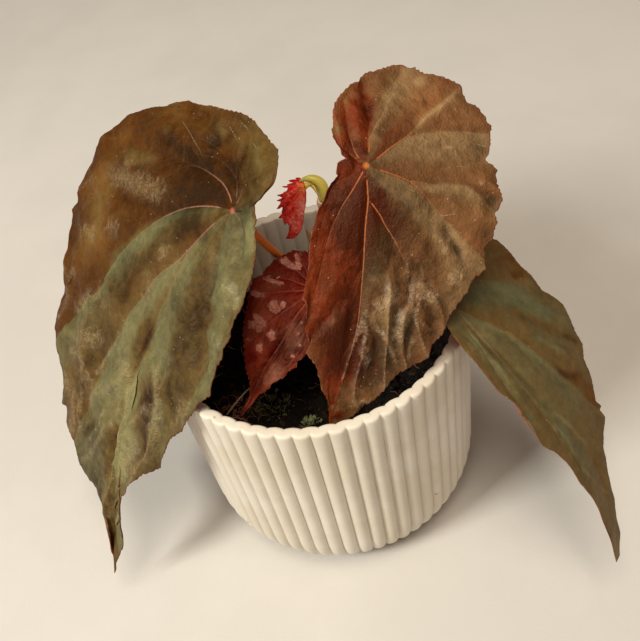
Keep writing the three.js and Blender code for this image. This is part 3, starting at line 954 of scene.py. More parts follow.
def leaf_skin_group():
    """A blade's skin: a run of three colours, shaded, with veins, a knot, a margin, painted sheen, lines of
    pale dust and glands.
    """
    colours = ("Cool", "Body", "Warm", "Margin", "Vein", "Far_Vein", "Knot", "Rib", "Underside", "Dust")
    group, take = open_group(
        "leaf_skin", **{name: "Color" for name in colours}, Vein_Width=0.35, Side_Vein_Share=0.1,
        Knot_Size=1.2, Margin_Width=1.2, Dust_Share=0.5, Dust_Edge=0.3, Dust_Grain=1.0, Dust_Fray=2.4,
        Speck_Share=0.05, Pebble=0.3, Mottle=1.0, Crumple=0.4, Shine=0.3)
    flat = read_attribute(group, "pressed", "Vector")
    names = ("reach", "lustre", "below", "edge")
    reach, lustre, below, edge = (read_attribute(group, name) for name in names)
    clouds = noise_value(flat, 0.15, 3.0, 0.55, 0.3) - 0.5
    grains = noise_value(flat, 1.1, 4.0, 0.65) - 0.5
    patches = noise_value(flat, 0.4, 3.0, 0.6) - 0.5
    blotches = noise_value(flat, 0.11, 4.0, 0.62, 0.5) - 0.5
    tint = read_attribute(group, "tint") + clouds * 0.4 + grains * 0.12
    colour = blend_colours(ease(tint, 0.0, 0.5), take["Cool"], take["Body"])
    colour = blend_colours(ease(tint, 0.5, 1.0), colour, take["Warm"])
    uneven = (blotches * 1.5 + patches * 1.3 + grains * 0.5) * take["Mottle"]
    shade = largest(read_attribute(group, "shade") + uneven + 1.0, 0.34)
    grey = Output(add_node(group, "ShaderNodeCombineColor", {0: shade, 1: shade, 2: shade}))
    colour = blend_colours(1.0, colour, grey, "MULTIPLY")

    width = take["Vein_Width"] * ease(reach, 0.0, 1.0, 1.25, 0.45)
    broken = ease(noise_value(flat, 0.8, 2.0), 0.3, 0.55, 0.6, 1.0)
    main_line = drawn_line(group, "main", width)
    side_line = drawn_line(group, "branch", width * 0.6)
    vein = main_line * read_attribute(group, "main_show") * broken
    lines = largest(vein, side_line * take["Side_Vein_Share"] * broken)
    vein_colour = blend_colours(ease(reach, 0.1, 0.5), take["Vein"], take["Far_Vein"])
    colour = blend_colours(lines, colour, vein_colour)
    away = Output(add_node(group, "ShaderNodeVectorMath", {0: flat}, operation="LENGTH"), "Value")
    colour = blend_colours(ease(away / take["Knot_Size"], 2.0, 0.3), colour, take["Knot"])
    ragged = (edge + patches * 1.6) / take["Margin_Width"]
    colour = blend_colours(ease(ragged, 1.0, 0.05, 0.0, 0.75), colour, take["Margin"])

    # Painted sheen: a pale colour laid in frayed, grainy patches where the lustre is high, joined by the pale
    # dust of the scratches.
    powder = noise_value(flat, 2.2, 4.0, 0.75)
    frayed = (noise_value(flat, 0.5, 3.0, 0.6, 0.6) - 0.5) * take["Dust_Fray"]
    laid = ease(lustre + frayed, 0.6 - take["Dust_Edge"], take["Dust_Edge"] + 0.6)
    creased = ease(abs(noise_value(flat, 0.42, 4.0, 0.6, 1.2) - 0.5), 0.075, 0.0)
    grain = largest(creased, ease(powder, 0.42, 0.64, 0.12, 0.75))
    dusty = laid * ease(lustre, 0.02, 0.5) * largest(grain, 1.0 - take["Dust_Grain"]) * take["Dust_Share"]
    scratch = drawn_line(group, "scratch", SCRATCH_WIDTH) * ease(powder, 0.44, 0.52)
    dusty = largest(dusty, scratch * 0.65)
    colour = blend_colours(dusty, colour, take["Dust"])
    specks = speckled(flat, 0.75, 0.13, take["Speck_Share"])
    colour = blend_colours(specks * 0.7, colour, LEAF_SPECK)
    under = blend_colours(largest(main_line, side_line), take["Underside"], take["Rib"])
    colour = blend_colours(below, colour, under)

    dull = ease(noise_value(flat, 0.7), 0.3, 0.7, 0.42, 0.56) - dusty * 0.08
    cells = add_node(group, "ShaderNodeTexVoronoi", {"Vector": flat, "Scale": 1.3, "Randomness": 0.9})
    height = ease(Output(cells, "Distance"), 0.8, 0.1) * take["Pebble"] - lines * 0.15
    height += powder * lustre * 0.2
    swells = abs(noise_value(flat, 0.24, 4.0, 0.6, 0.9) - 0.5)
    height += swells * (ease(lustre, 0.0, 0.7, 1.2, 3.6) * take["Crumple"])
    height += patches * 0.3
    coat = ease(lustre, 0.02, 0.6, 0.12, 1.0) * take["Shine"]
    return close_group(group, Colour=colour, Roughness=dull, Height=height, Coat=coat)


LEAF_SKIN = leaf_skin_group()


def leaf_finish(name, gloss, relief, **values):
    """One leaf's material: the shared skin with its own colours, on a satin shader."""
    material = bare_material(
        name, Specular_IOR_Level=gloss, Specular_Tint=SATIN_TINT, Coat_Roughness=0.4, Coat_Tint=COAT_TINT)
    inputs = {label.replace("_", " "): value for label, value in values.items()}
    skin = Output(add_node(material.node_tree, "ShaderNodeGroup", inputs, node_tree=LEAF_SKIN), "Colour")
    dress(material, skin, skin.beside("Roughness"), skin.beside("Height"), relief)
    feed(material.node_tree.nodes["Principled BSDF"].inputs["Coat Weight"], skin.beside("Coat"))
    return material


def make_stalk(name, blade, points, radius, sides, steps, finish, slot, node, hair_count=0):
    """A leaf's stalk, swollen at both ends: through its own points, and up to the blade's underside."""
    depths = (STALK_ARRIVAL, BLADE_THICKNESS)
    route = points + [tuple(blade.junction - blade.normal * depth) for depth in depths]
    widths = [radius * factor for factor in STALK_PROFILE]
    make_piece(name, shoot_shape(route, widths, sides, steps), finish, slot, node)
    grow_hairs(route, radius - 0.05, hair_count)

# The left leaf: the largest and oldest, olive-brown with grey-green bands beside its veins and a
# pink knot. It hangs with its long drip tip curled, and it is joined to the stem by an orange stalk.
left_blade = Blade(
    [-14, -1.6, 131], [-0.6, -0.35, 0.72], [-0.62, -0.45, -0.62], 0.16, 0.08, 22,
    [[-237, 8.5], [-223, 16.5], [-195, 22], [-157, 27], [-131, 35], [-119, 44], [-97, 66], [-87, 77.5],
     [-68, 88.5], [-48, 100.5], [-31, 114], [-15, 122.5], [-8, 143.5], [-8, 116.5], [-9, 109], [0, 83.5],
     [1, 72], [13, 54.5], [23, 38.5], [36, 26.5], [78, 12], [127, 8]], 12,
    [[0.05, 0.1, -0.1], [0.68, 4, -0.6], [1.12, 2, -0.5], [1.6, 1.1, -0.4], [1.93, -0.3, 0.2],
     [2.15, 2.3, -0.9], [2.5, 1.2, -1], [2.73, 0.3, 0.1], [3.05, -0.7, 0.5], [3.53, 0, 0],
     [4.03, -0.4, 0.7], [4.8, -0.3, 0.1], [4.98, -0.4, 0.8], [5.4, 0.3, -1.7], [5.73, 0, 0],
     [5.98, -0.3, 1.4], [6.5, -0.1, 0.3], [6.88, -0.2, 1.7], [7.2, -0.2, -1.5], [7.4, -0.1, -0.7],
     [7.62, 0, -0.7], [7.8, 0.1, -3.1], [7.88, 0, 1.4], [8.08, 0.2, -0.3], [8.53, 0.3, -2.6],
     [8.68, 0.7, -4.2], [8.78, 0.9, -4.6], [8.83, 0, -0.6], [8.95, -0.4, 1], [9.1, -0.4, 3.3],
     [9.4, -0.2, 2.4], [9.6, 0.6, -2], [9.75, 0.2, -1.5], [9.88, -0.7, 3.2], [9.93, 0, -0.6],
     [10.1, -0.5, 1.1], [10.3, -0.1, 0.7], [10.53, -1, 4.8], [10.6, -0.9, 3.6], [10.8, -0.2, 1],
     [11.05, 0.1, -0.7], [11.18, 0.2, -1.3], [11.3, 0.9, -3.3], [11.48, 0.9, -2.9], [11.7, 0.5, -2.1],
     [12, -0.2, 0.7], [12.33, 0.4, -1], [12.53, 1.3, -2.6], [12.68, 1.4, -2.8], [12.8, -0.3, 0.3],
     [12.88, -0.9, 1.6], [13, 0.2, -0.3], [13.18, -0.7, 1.4], [13.48, -0.9, 2.3], [13.78, -0.6, 0.9],
     [14.25, -0.6, 0.1], [14.33, -1.5, -0.5], [14.68, -2, 0], [14.98, 0.2, 0], [15.15, -0.5, 0.3],
     [15.48, 1, -0.8], [15.75, 1.3, -0.7], [16, 1.3, -0.1], [16.35, 1.7, 0.6], [16.6, 0.1, 0.1],
     [16.9, -0.5, -0.3], [17.15, 2.4, 0.1], [17.32, 0.8, 0.2], [17.65, -0.8, 0.1], [17.8, 0.7, 0.2],
     [18, -0.7, -0.1], [18.28, 1.3, 0.1]])
left_look = {
    "seed": 3, "mesh": (470, 100),
    "branching": 6, "redder": 0.1, "quilt": 1.2, "veining": 0.2, "pucker_size": 1.25, "crumple": 1.5,
    "wave": 0.7, "rib": 0.9, "tooth": 0.75, "tooth_spacing": 2.2, "thickness": 1.0,
    "tints": [[0.38, 0.55], [0.7, 0.78], [0.83, 0.9], [0.9, 0.95], [0.1, 0.65], [0.12, 0.4], [0.08, 0.28],
        [0.1, 0.35], [0.05, 0.2], [0.15, 0.3]],
    "pleats": [[9.2, 15.4, 0.42, 3.6, 0.8, 1.15], [6.4, 9.6, 0.66, 2, 0.5, 1.3]],
    "scratches": [[[5.55, 0.7], [5.6, 0.6], [5.7, 0.49], [5.8, 0.4]], [[3.65, 0.78], [3.55, 0.69]],
        [[3.2, 0.9], [3.05, 0.85]], [[2.8, 0.75], [2.65, 0.73]]],
    "veins": [
        [[2.7, 0.08, 0.5], [2.9, 0.3, 0], [3, 0.42, 0], [3.1, 0.94, 0]],
        [[3.2, 0.1, 0.5], [3.7, 0.26, 0.1], [4.8, 0.42, 0], [5.1, 0.95, 0]],
        [[5.1, 0.04, 1], [5.7, 0.18, 0.7], [6.15, 0.24, 0.4], [6.9, 0.32, 0.1], [7.2, 0.52, 0],
         [6.8, 0.96, 0]],
        [[8.4, 0.03, 1], [8.65, 0.22, 0.7], [9.05, 0.45, 0.4], [9.35, 0.68, 0.3], [9.2, 0.96, 0]],
        [[10.35, 0.03, 1], [10.7, 0.12, 0.8], [10.75, 0.2, 0.8], [10.45, 0.31, 0.7], [10.45, 0.7, 0.5],
         [10.3, 0.97, 0.2]],
        [[10.45, 0.03, 0.5], [10.9, 0.2, 0.4], [11.6, 0.26, 0.3], [12.1, 0.36, 0.2], [12.2, 0.6, 0.1],
         [12.4, 0.85, 0], [12.1, 0.98, 0]],
        [[12.4, 0.33, 0], [14.1, 0.5, 0], [14.5, 0.62, 0], [14.95, 0.86, 0], [15, 0.98, 0]],
        [[16.9, 0.05, 0], [17.3, 0.3, 0], [17.4, 0.6, 0], [17.1, 0.88, 0], [16.4, 0.97, 0]],
        [[20.3, 0.1, 0.3], [19.9, 0.38, 0], [19.2, 0.73, 0], [18.9, 0.98, 0]],
    ],
    "strokes": [
        [11, 0, 0.3, -0.4, 0, [[3.8, 0.25], [5.2, 0.2], [7, 0.2], [8.4, 0.15]]],
        [9, 0, 0.3, -0.35, 0, [[8.4, 0.15], [8.4, 0.28], [7, 0.35], [6.6, 0.5], [6.6, 0.7]]],
        [8, 0, 0.1, -0.45, 0, [[5.4, 0.5], [4.6, 0.58]]], [6, 0, 0.3, -0.5, 0, [[9.5, 0.1], [9.5, 0.26]]],
        [5, 0, 0.1, -0.35, 0, [[9.6, 0.4], [9.7, 0.6]]], [4, 0, 0.1, -0.25, 0, [[9.6, 0.6], [9.7, 0.78]]],
        [8, 0, -0.05, 0.2, 0, [[0.5, 0.65], [0.6, 0.9]]], [6, 0, 0.1, -0.3, 0, [[2.6, 0.15], [2.5, 0.6]]],
        [7, 0, 0, -0.15, 0, [[1.4, 0.2], [1.6, 0.45], [1.5, 0.7]]],
        [6, 0, -0.1, 0.35, 0, [[3.7, 0.45], [3.7, 0.7]]],
        [6, 0, -0.15, 0.35, 0, [[4.6, 0.68], [5.4, 0.72], [5.6, 0.95]]],
        [5, 0, -0.1, 0.45, 0, [[6.4, 0.82], [7.3, 0.86]]],
        [9, 0, -0.25, 0.6, 0, [[7.4, 0.93], [7.8, 0.8], [8.5, 0.72], [8.6, 0.95]]],
        [5, 0, -0.05, 0.25, 0, [[10.7, 0.2], [10.5, 0.85]]],
        [3.5, 0, 0.4, -0.6, 0, [[11.5, 0.34], [11.6, 0.45]]],
        [3.5, 0, 0.4, -0.5, 0, [[11.6, 0.66], [11.5, 0.74]]],
        [7, 0, -0.1, 0.3, 0, [[12.4, 0.3], [12.6, 0.55], [12.5, 0.95]]],
        [7, 0, -0.1, 0.35, 0, [[13.4, 0.12], [13.2, 0.3]]],
        [8, 0, -0.1, 0.35, 0, [[13.6, 0.5], [13.5, 0.95]]],
        [5, 0, 0.3, -0.5, 0, [[14.6, 0.66], [14.6, 0.86]]],
        [4, 0, 0, -0.35, 0, [[14.6, 0.22], [14.5, 0.42]]],
        [5, 0, 0.2, -0.5, 0, [[16.4, 0.2], [16.6, 0.45], [16.4, 0.75], [16.5, 0.95]]],
        [6, 0, -0.1, 0.3, 0, [[18.4, 0.5], [18.6, 0.9]]],
        [7, 0, -0.05, -0.4, 0, [[19.8, 0.3], [20.4, 0.5], [20.3, 0.7]]],
        [5, 0, -0.1, 0.5, 0, [[19.6, 0.85], [20.4, 0.8]]],
        [5, 0, 0.35, -0.35, 0, [[17, 0.48], [17.2, 0.7]]],
        [5, 0, 0.35, -0.25, 0, [[14.2, 0.7], [15.4, 0.72]]], [4, 0, 0.45, 0.1, 0, [[12, 0.88], [12.2, 1]]],
        [2.4, -0.39, 0.5, -0.55, 0, [[8.3, 0.25], [8, 0.16], [7.2, 0.06]]],
        [2, 0.5, -0.55, 0.1, 0.1, [[9.1, 0.09], [8.9, 0.19], [8.9, 0.28], [9, 0.35], [9.05, 0.43],
         [9.15, 0.48], [9.15, 0.55], [9.25, 0.58], [9.3, 0.63]]],
        [1.2, 0.39, 0, 0.1, 0.8, [[9.3, 0.64], [9.4, 0.69], [9.25, 0.8], [9.2, 0.88]]],
        [2.6, -0.39, 0.25, -0.2, 0, [[9.55, 0.27], [9.75, 0.35], [9.8, 0.42], [10.05, 0.48],
         [10.15, 0.53]]],
        [1.6, 0.11, 0, 0.1, 1, [[9.75, 0.28], [10.25, 0.27]]],
        [2, 0.11, 0.1, 0.05, 0.5, [[10.3, 0.32], [10.5, 0.36], [10.5, 0.43]]],
        [1.8, 0.11, 0, 0.1, 0.9, [[7.5, 0.84], [7.65, 0.73], [7.8, 0.61], [7.95, 0.48], [8.1, 0.38],
         [8.25, 0.32]]],
        [1.4, 0.11, 0, 0.1, 0.7, [[7.4, 0.71], [7.65, 0.6]]],
        [1.4, 0.11, 0, 0.1, 0.8, [[8.25, 0.88], [8.4, 0.79], [8.6, 0.7]]],
        [1.6, 0.11, 0.1, 0.05, 0.6, [[8.45, 0.68], [8.7, 0.54]]],
        [1.2, 0.06, -0.1, 0.1, 0.7, [[8.65, 0.94], [8.8, 0.83]]],
        [2.6, 0.28, -0.35, 0.1, 0, [[7.25, 0.75], [7.35, 0.62], [7.3, 0.49]]],
        [2.4, 0.17, -0.3, 0.1, 0, [[5.75, 0.71], [6.15, 0.6]]],
        [2, 0.22, -0.3, 0.15, 0, [[4.25, 0.76], [4.05, 0.66]]],
        [2, 0.28, -0.3, 0.2, 0, [[2.75, 0.8], [2.5, 0.64], [2, 0.62]]],
        [1.6, -0.33, 0.2, -0.35, 0, [[6.9, 0.64], [6.5, 0.58], [6.35, 0.47], [6.25, 0.35], [6.15, 0.27]]],
        [2.2, -0.17, 0.2, -0.2, 0, [[5.15, 0.91], [5.05, 0.81], [3.9, 0.95]]],
        [2, -0.22, 0.2, -0.35, 0, [[4.25, 0.47], [4.2, 0.31], [3.9, 0.19]]],
        [1, -0.5, 0.1, -0.4, 0, [[3.1, 0.75], [3.25, 0.55], [3.6, 0.32]]],
        [1.6, -0.22, 0.2, -0.3, 0, [[8.05, 0.65], [8.25, 0.51], [8.5, 0.38]]],
        [1.2, -0.22, 0.1, -0.25, 0, [[7.5, 0.99], [7.75, 0.85]]],
        [1.6, 0, 0.7, 0.1, 0, [[6.9, 1], [7.15, 0.9]]], [1.6, 0, 0.7, 0.1, 0, [[8.9, 0.97], [9.1, 0.92]]],
        [1, 0, 0.7, 0, 0, [[8.2, 0.94], [8.45, 0.93]]],
        [0.8, -0.5, -0.1, -0.35, 0, [[20, 0.38], [19.55, 0.54], [19.2, 0.66]]],
        [1.3, -0.39, -0.1, -0.25, 0, [[17.25, 0.19], [17.35, 0.3], [17.4, 0.46], [17.2, 0.6]]],
        [1, -0.22, 0, -0.2, 0, [[13.3, 0.09], [14.85, 0.18], [14.8, 0.25]]],
        [1.2, 0.5, -0.2, 0.25, 0.6, [[18.15, 0.53], [18.8, 0.73], [18.85, 0.87], [18.8, 0.98]]],
        [2.6, 0.11, -0.5, 0, 0, [[20.65, 0.66], [19.8, 0.77]]],
        [1.8, 0.11, 0.1, 0.1, 0.9, [[9.45, 0.89], [9.8, 0.75], [10.2, 0.63]]],
        [1.2, 0.17, 0.1, 0.1, 0.8, [[9.55, 0.92], [9.85, 0.79]]],
        [1.6, -0.28, 0.1, -0.35, 0, [[9.8, 0.86], [10.25, 0.71]]],
        [0.6, 0.5, -0.2, 0.25, 0.9, [[10.4, 0.54], [10.45, 0.6], [10.4, 0.67], [10.4, 0.7], [10.25, 0.78]]],
        [0.6, 0.44, -0.1, 0.2, 0.8, [[10.15, 0.84], [10.2, 0.88], [10.25, 0.91], [10.35, 0.93],
         [10.35, 0.96]]],
        [0.8, -0.5, 0.1, -0.45, 0, [[10.35, 0.73], [10.25, 0.8], [10.2, 0.84]]],
        [1.8, 0.28, -0.5, 0.15, 0, [[10.6, 0.49], [10.6, 0.55], [10.5, 0.63], [10.5, 0.69]]],
        [1.1, -0.66, 0.5, -0.55, 0, [[12.05, 0.33], [12.2, 0.39], [12.4, 0.46], [12.2, 0.47]]],
        [1.8, 0.11, 0, 0.1, 0.9, [[10.8, 0.6], [11.2, 0.54], [11.8, 0.48]]],
        [1.1, 0.39, 0, 0.2, 0.7, [[10.55, 0.73], [10.5, 0.78], [10.35, 0.86]]],
        [1.1, -0.39, -0.1, -0.4, 0, [[10.7, 0.72], [11.15, 0.61]]],
        [0.6, 0.44, 0, 0.25, 0.7, [[11.5, 0.58], [11, 0.69], [10.8, 0.78], [10.65, 0.87], [10.55, 0.93]]],
        [0.7, 0.44, 0, 0.2, 0.7, [[11.45, 0.63], [11.05, 0.75], [10.9, 0.82], [10.75, 0.89], [10.55, 0.98],
         [10.55, 1]]],
        [0.9, -0.44, 0.3, -0.45, 0, [[11.35, 0.67], [12, 0.62], [11.5, 0.7]]],
        [1.4, -0.28, 0.3, -0.3, 0, [[10.6, 0.84], [10.45, 0.93]]],
        [1.5, -0.22, 0.3, -0.2, 0, [[11.15, 0.81], [11.5, 0.77], [11.2, 0.87]]],
        [1.2, 0.55, -0.3, 0.3, 1, [[14.3, 0.55], [14.55, 0.6], [14.85, 0.69], [14.95, 0.76], [14.95, 0.82],
         [14.85, 0.87], [14.85, 0.93]]],
        [0.7, 0.39, -0.3, 0.25, 0.8, [[14, 0.59], [11.95, 0.51], [12.15, 0.56], [12.4, 0.64], [12.45, 0.7],
         [12.55, 0.78]]],
        [1.8, 0.28, -0.3, 0.2, 1, [[14.15, 0.78], [14.35, 0.85], [14.05, 0.88], [14.1, 0.93],
         [14.2, 0.96]]],
        [1.6, 0.11, -0.2, -0.2, 0, [[14.4, 0.65], [14.4, 0.74]]],
        [1.5, -0.33, 0.5, -0.5, 0, [[14.6, 0.81], [14.7, 0.88], [14.55, 0.88]]],
        [1.2, -0.33, 0.1, -0.4, 0, [[16.1, 0.76], [16.1, 0.85], [16.25, 0.97]]],
        [1.6, -0.17, 0.3, -0.25, 0, [[16.95, 0.71], [16.8, 0.81]]],
        [2, 0.22, -0.5, 0.1, 0.5, [[17.5, 0.73], [17.7, 0.85], [17.4, 0.91], [17.3, 0.98]]],
        [1.5, 0.17, -0.1, 0.15, 0.7, [[16.75, 0.92], [16.4, 0.94], [16, 0.98]]],
        [0.8, 0.33, 0, 0.2, 0.6, [[14.85, 0.94], [14.4, 0.93], [14.05, 0.93]]],
        [0.7, 0.33, 0, 0.25, 0.5, [[12.4, 0.81], [11.2, 0.93], [11.05, 0.99]]],
        [1.2, -0.28, 0.2, -0.3, 0, [[11.9, 0.81], [11.45, 0.92]]],
        [1, 0, 0.7, 0, 0, [[10.85, 0.98], [11.05, 0.98]]],
    ],
}
olive_finish = leaf_finish(
    "olive_leaf", 0.15, 0.7, Cool=(0.118, 0.110, 0.048), Body=(0.095, 0.057, 0.015),
    Warm=(0.066, 0.021, 0.0015), Margin=(0.13, 0.036, 0.012), Vein=(0.30, 0.14, 0.10),
    Far_Vein=(0.19, 0.165, 0.09), Knot=(0.36, 0.095, 0.075), Rib=(0.30, 0.12, 0.07),
    Underside=(0.20, 0.045, 0.03), Dust=(0.36, 0.29, 0.15), Vein_Width=0.2, Side_Vein_Share=0.1,
    Knot_Size=0.65, Margin_Width=1.0, Dust_Share=0.5, Dust_Edge=0.5, Speck_Share=0.12, Pebble=0.1,
    Mottle=0.9, Crumple=1.0, Shine=0.3)
make_piece("left_leaf", blade_shape(left_blade, left_look), olive_finish, "blade_olive", "leaf_left")
make_stalk(
    "left_stalk", left_blade, [(8.4, 17, 75), (-3.9, 9.8, 98.5), (-10.2, 3, 117.5)],
    1.25, 20, 110, stalk_finish, "stalk", "stalk_left", 260)

# The right leaf: middle-aged and the one that faces the viewer, copper-brown with grey-olive pleats, a deep
# red round its orange knot that is partly its own colour and partly a painted glow of light shining through,
# and a lower half that is puckered like crushed satin, with painted sheen on its pleats.
right_blade = Blade(
    [24, -3.5, 137], [0.12, -0.6, 0.79], [-0.2, -0.82, -0.54], 0.5, 0.2, 0,
    [[-114.5, 5.6], [-51, 15], [-35, 25.5], [-27, 38], [-21, 49], [-12, 61.5], [-8, 75.5], [1, 66.5],
     [10, 57.5], [20, 54], [37, 45], [57, 41], [75, 39.5], [94, 36.5], [115, 37.5], [132, 37], [158, 33],
     [180, 27.5], [202, 20.5], [222, 13.5], [244, 5.5]], 6,
    [[0.35, 15.6, 0.3], [0.45, 18, -0.5], [0.7, 6.8, 0], [0.93, 0.7, 0], [1.23, -4.8, 0.5],
     [1.45, -4.8, 0.5], [1.88, -2.3, 0.4], [2.27, -1.5, 0.2], [2.48, -0.2, 0.1], [2.83, 0.1, 0],
     [3.15, -0.6, 0.2], [3.33, 1.3, -0.3], [3.65, 1.2, -0.3], [3.85, 0.4, -0.2], [4.12, 0.9, -0.5],
     [4.28, 0.6, -0.6], [4.35, -0.7, 0.7], [4.5, 0, 0.2], [4.7, 0.4, -0.4], [4.83, -0.1, -0.1],
     [4.93, 0.2, 0.1], [5.12, -0.3, 0.1], [5.33, 0.7, -0.4], [5.45, 1, -0.4], [5.53, 0.5, -0.2],
     [5.62, 1.3, -0.5], [5.75, 0.9, -0.4], [5.88, 0.4, -0.2], [6.3, 0.5, 0.9], [6.5, 0.7, 1.1],
     [6.9, 0.3, 0.2], [7.18, 0.5, 0.7], [7.53, 0.3, 0.6], [7.78, 0.4, 0.7], [8.03, 0.5, 0.9],
     [8.6, 0.3, 1.4], [8.9, 0.6, 1.4], [9, 0.2, 0.2], [9.12, -0.3, -0.2], [9.33, -0.1, 0],
     [9.47, 0.1, -0.3], [9.68, -0.4, -0.3], [9.75, -0.3, -0.2], [9.95, -0.1, 0], [10.12, 0.2, 0.4],
     [10.28, -0.3, 0], [10.4, 0.3, 0.2], [10.62, 0.6, 1.9], [10.75, 0, 0.5], [10.9, 0, -0.4],
     [11, -0.5, -1.3], [11.25, 0.1, 0.1], [11.45, -0.1, -0.6], [11.62, -0.2, -0.4], [11.78, -0.5, -1.6],
     [12.05, -0.1, 0], [12.12, 0.1, 0.4], [12.35, -0.4, -0.3], [12.55, -0.3, -0.3], [12.78, 0.1, 0.5],
     [12.9, 0, -0.4], [13, -0.4, -2.2], [13.1, -0.2, -1.7], [13.2, 0.1, -0.8], [13.43, 0, 0.1],
     [13.6, -0.2, 0.4], [13.68, -0.1, 1.5], [13.78, 0.3, 0.7], [13.93, -0.2, 0.6], [14.18, 0, 0.3],
     [14.35, -0.2, -0.2], [14.55, -0.6, -1.7], [14.65, -0.1, -1.2], [14.9, -0.1, 0.4], [14.98, 0.6, 1.1],
     [15.18, 0.5, 0.6], [15.38, 0.1, 0.2], [15.58, -0.1, -0.8], [15.68, -0.4, -0.4], [15.8, -0.1, 0.5],
     [15.93, 0.5, 0.5], [16.05, 0.1, 1], [16.25, 0.4, 0.4], [16.45, 0.2, 0], [16.65, -0.3, -0.1],
     [16.88, 0.1, 0.2], [17.05, -0.4, -0.3], [17.15, -1.1, -1.2], [17.25, -0.4, -0.4], [17.35, -0.2, -0.4],
     [17.6, -0.6, -0.4], [17.8, 0, -0.2], [18.05, -0.1, 0.1], [18.25, -0.4, 0], [18.4, -0.6, -0.1],
     [18.73, -2, -0.3], [18.98, 0.4, 0], [19.15, 1.1, 0], [19.38, -0.7, 0], [19.58, -1.2, 0],
     [19.68, 4.8, 0.2], [19.98, 4, 0.1]])
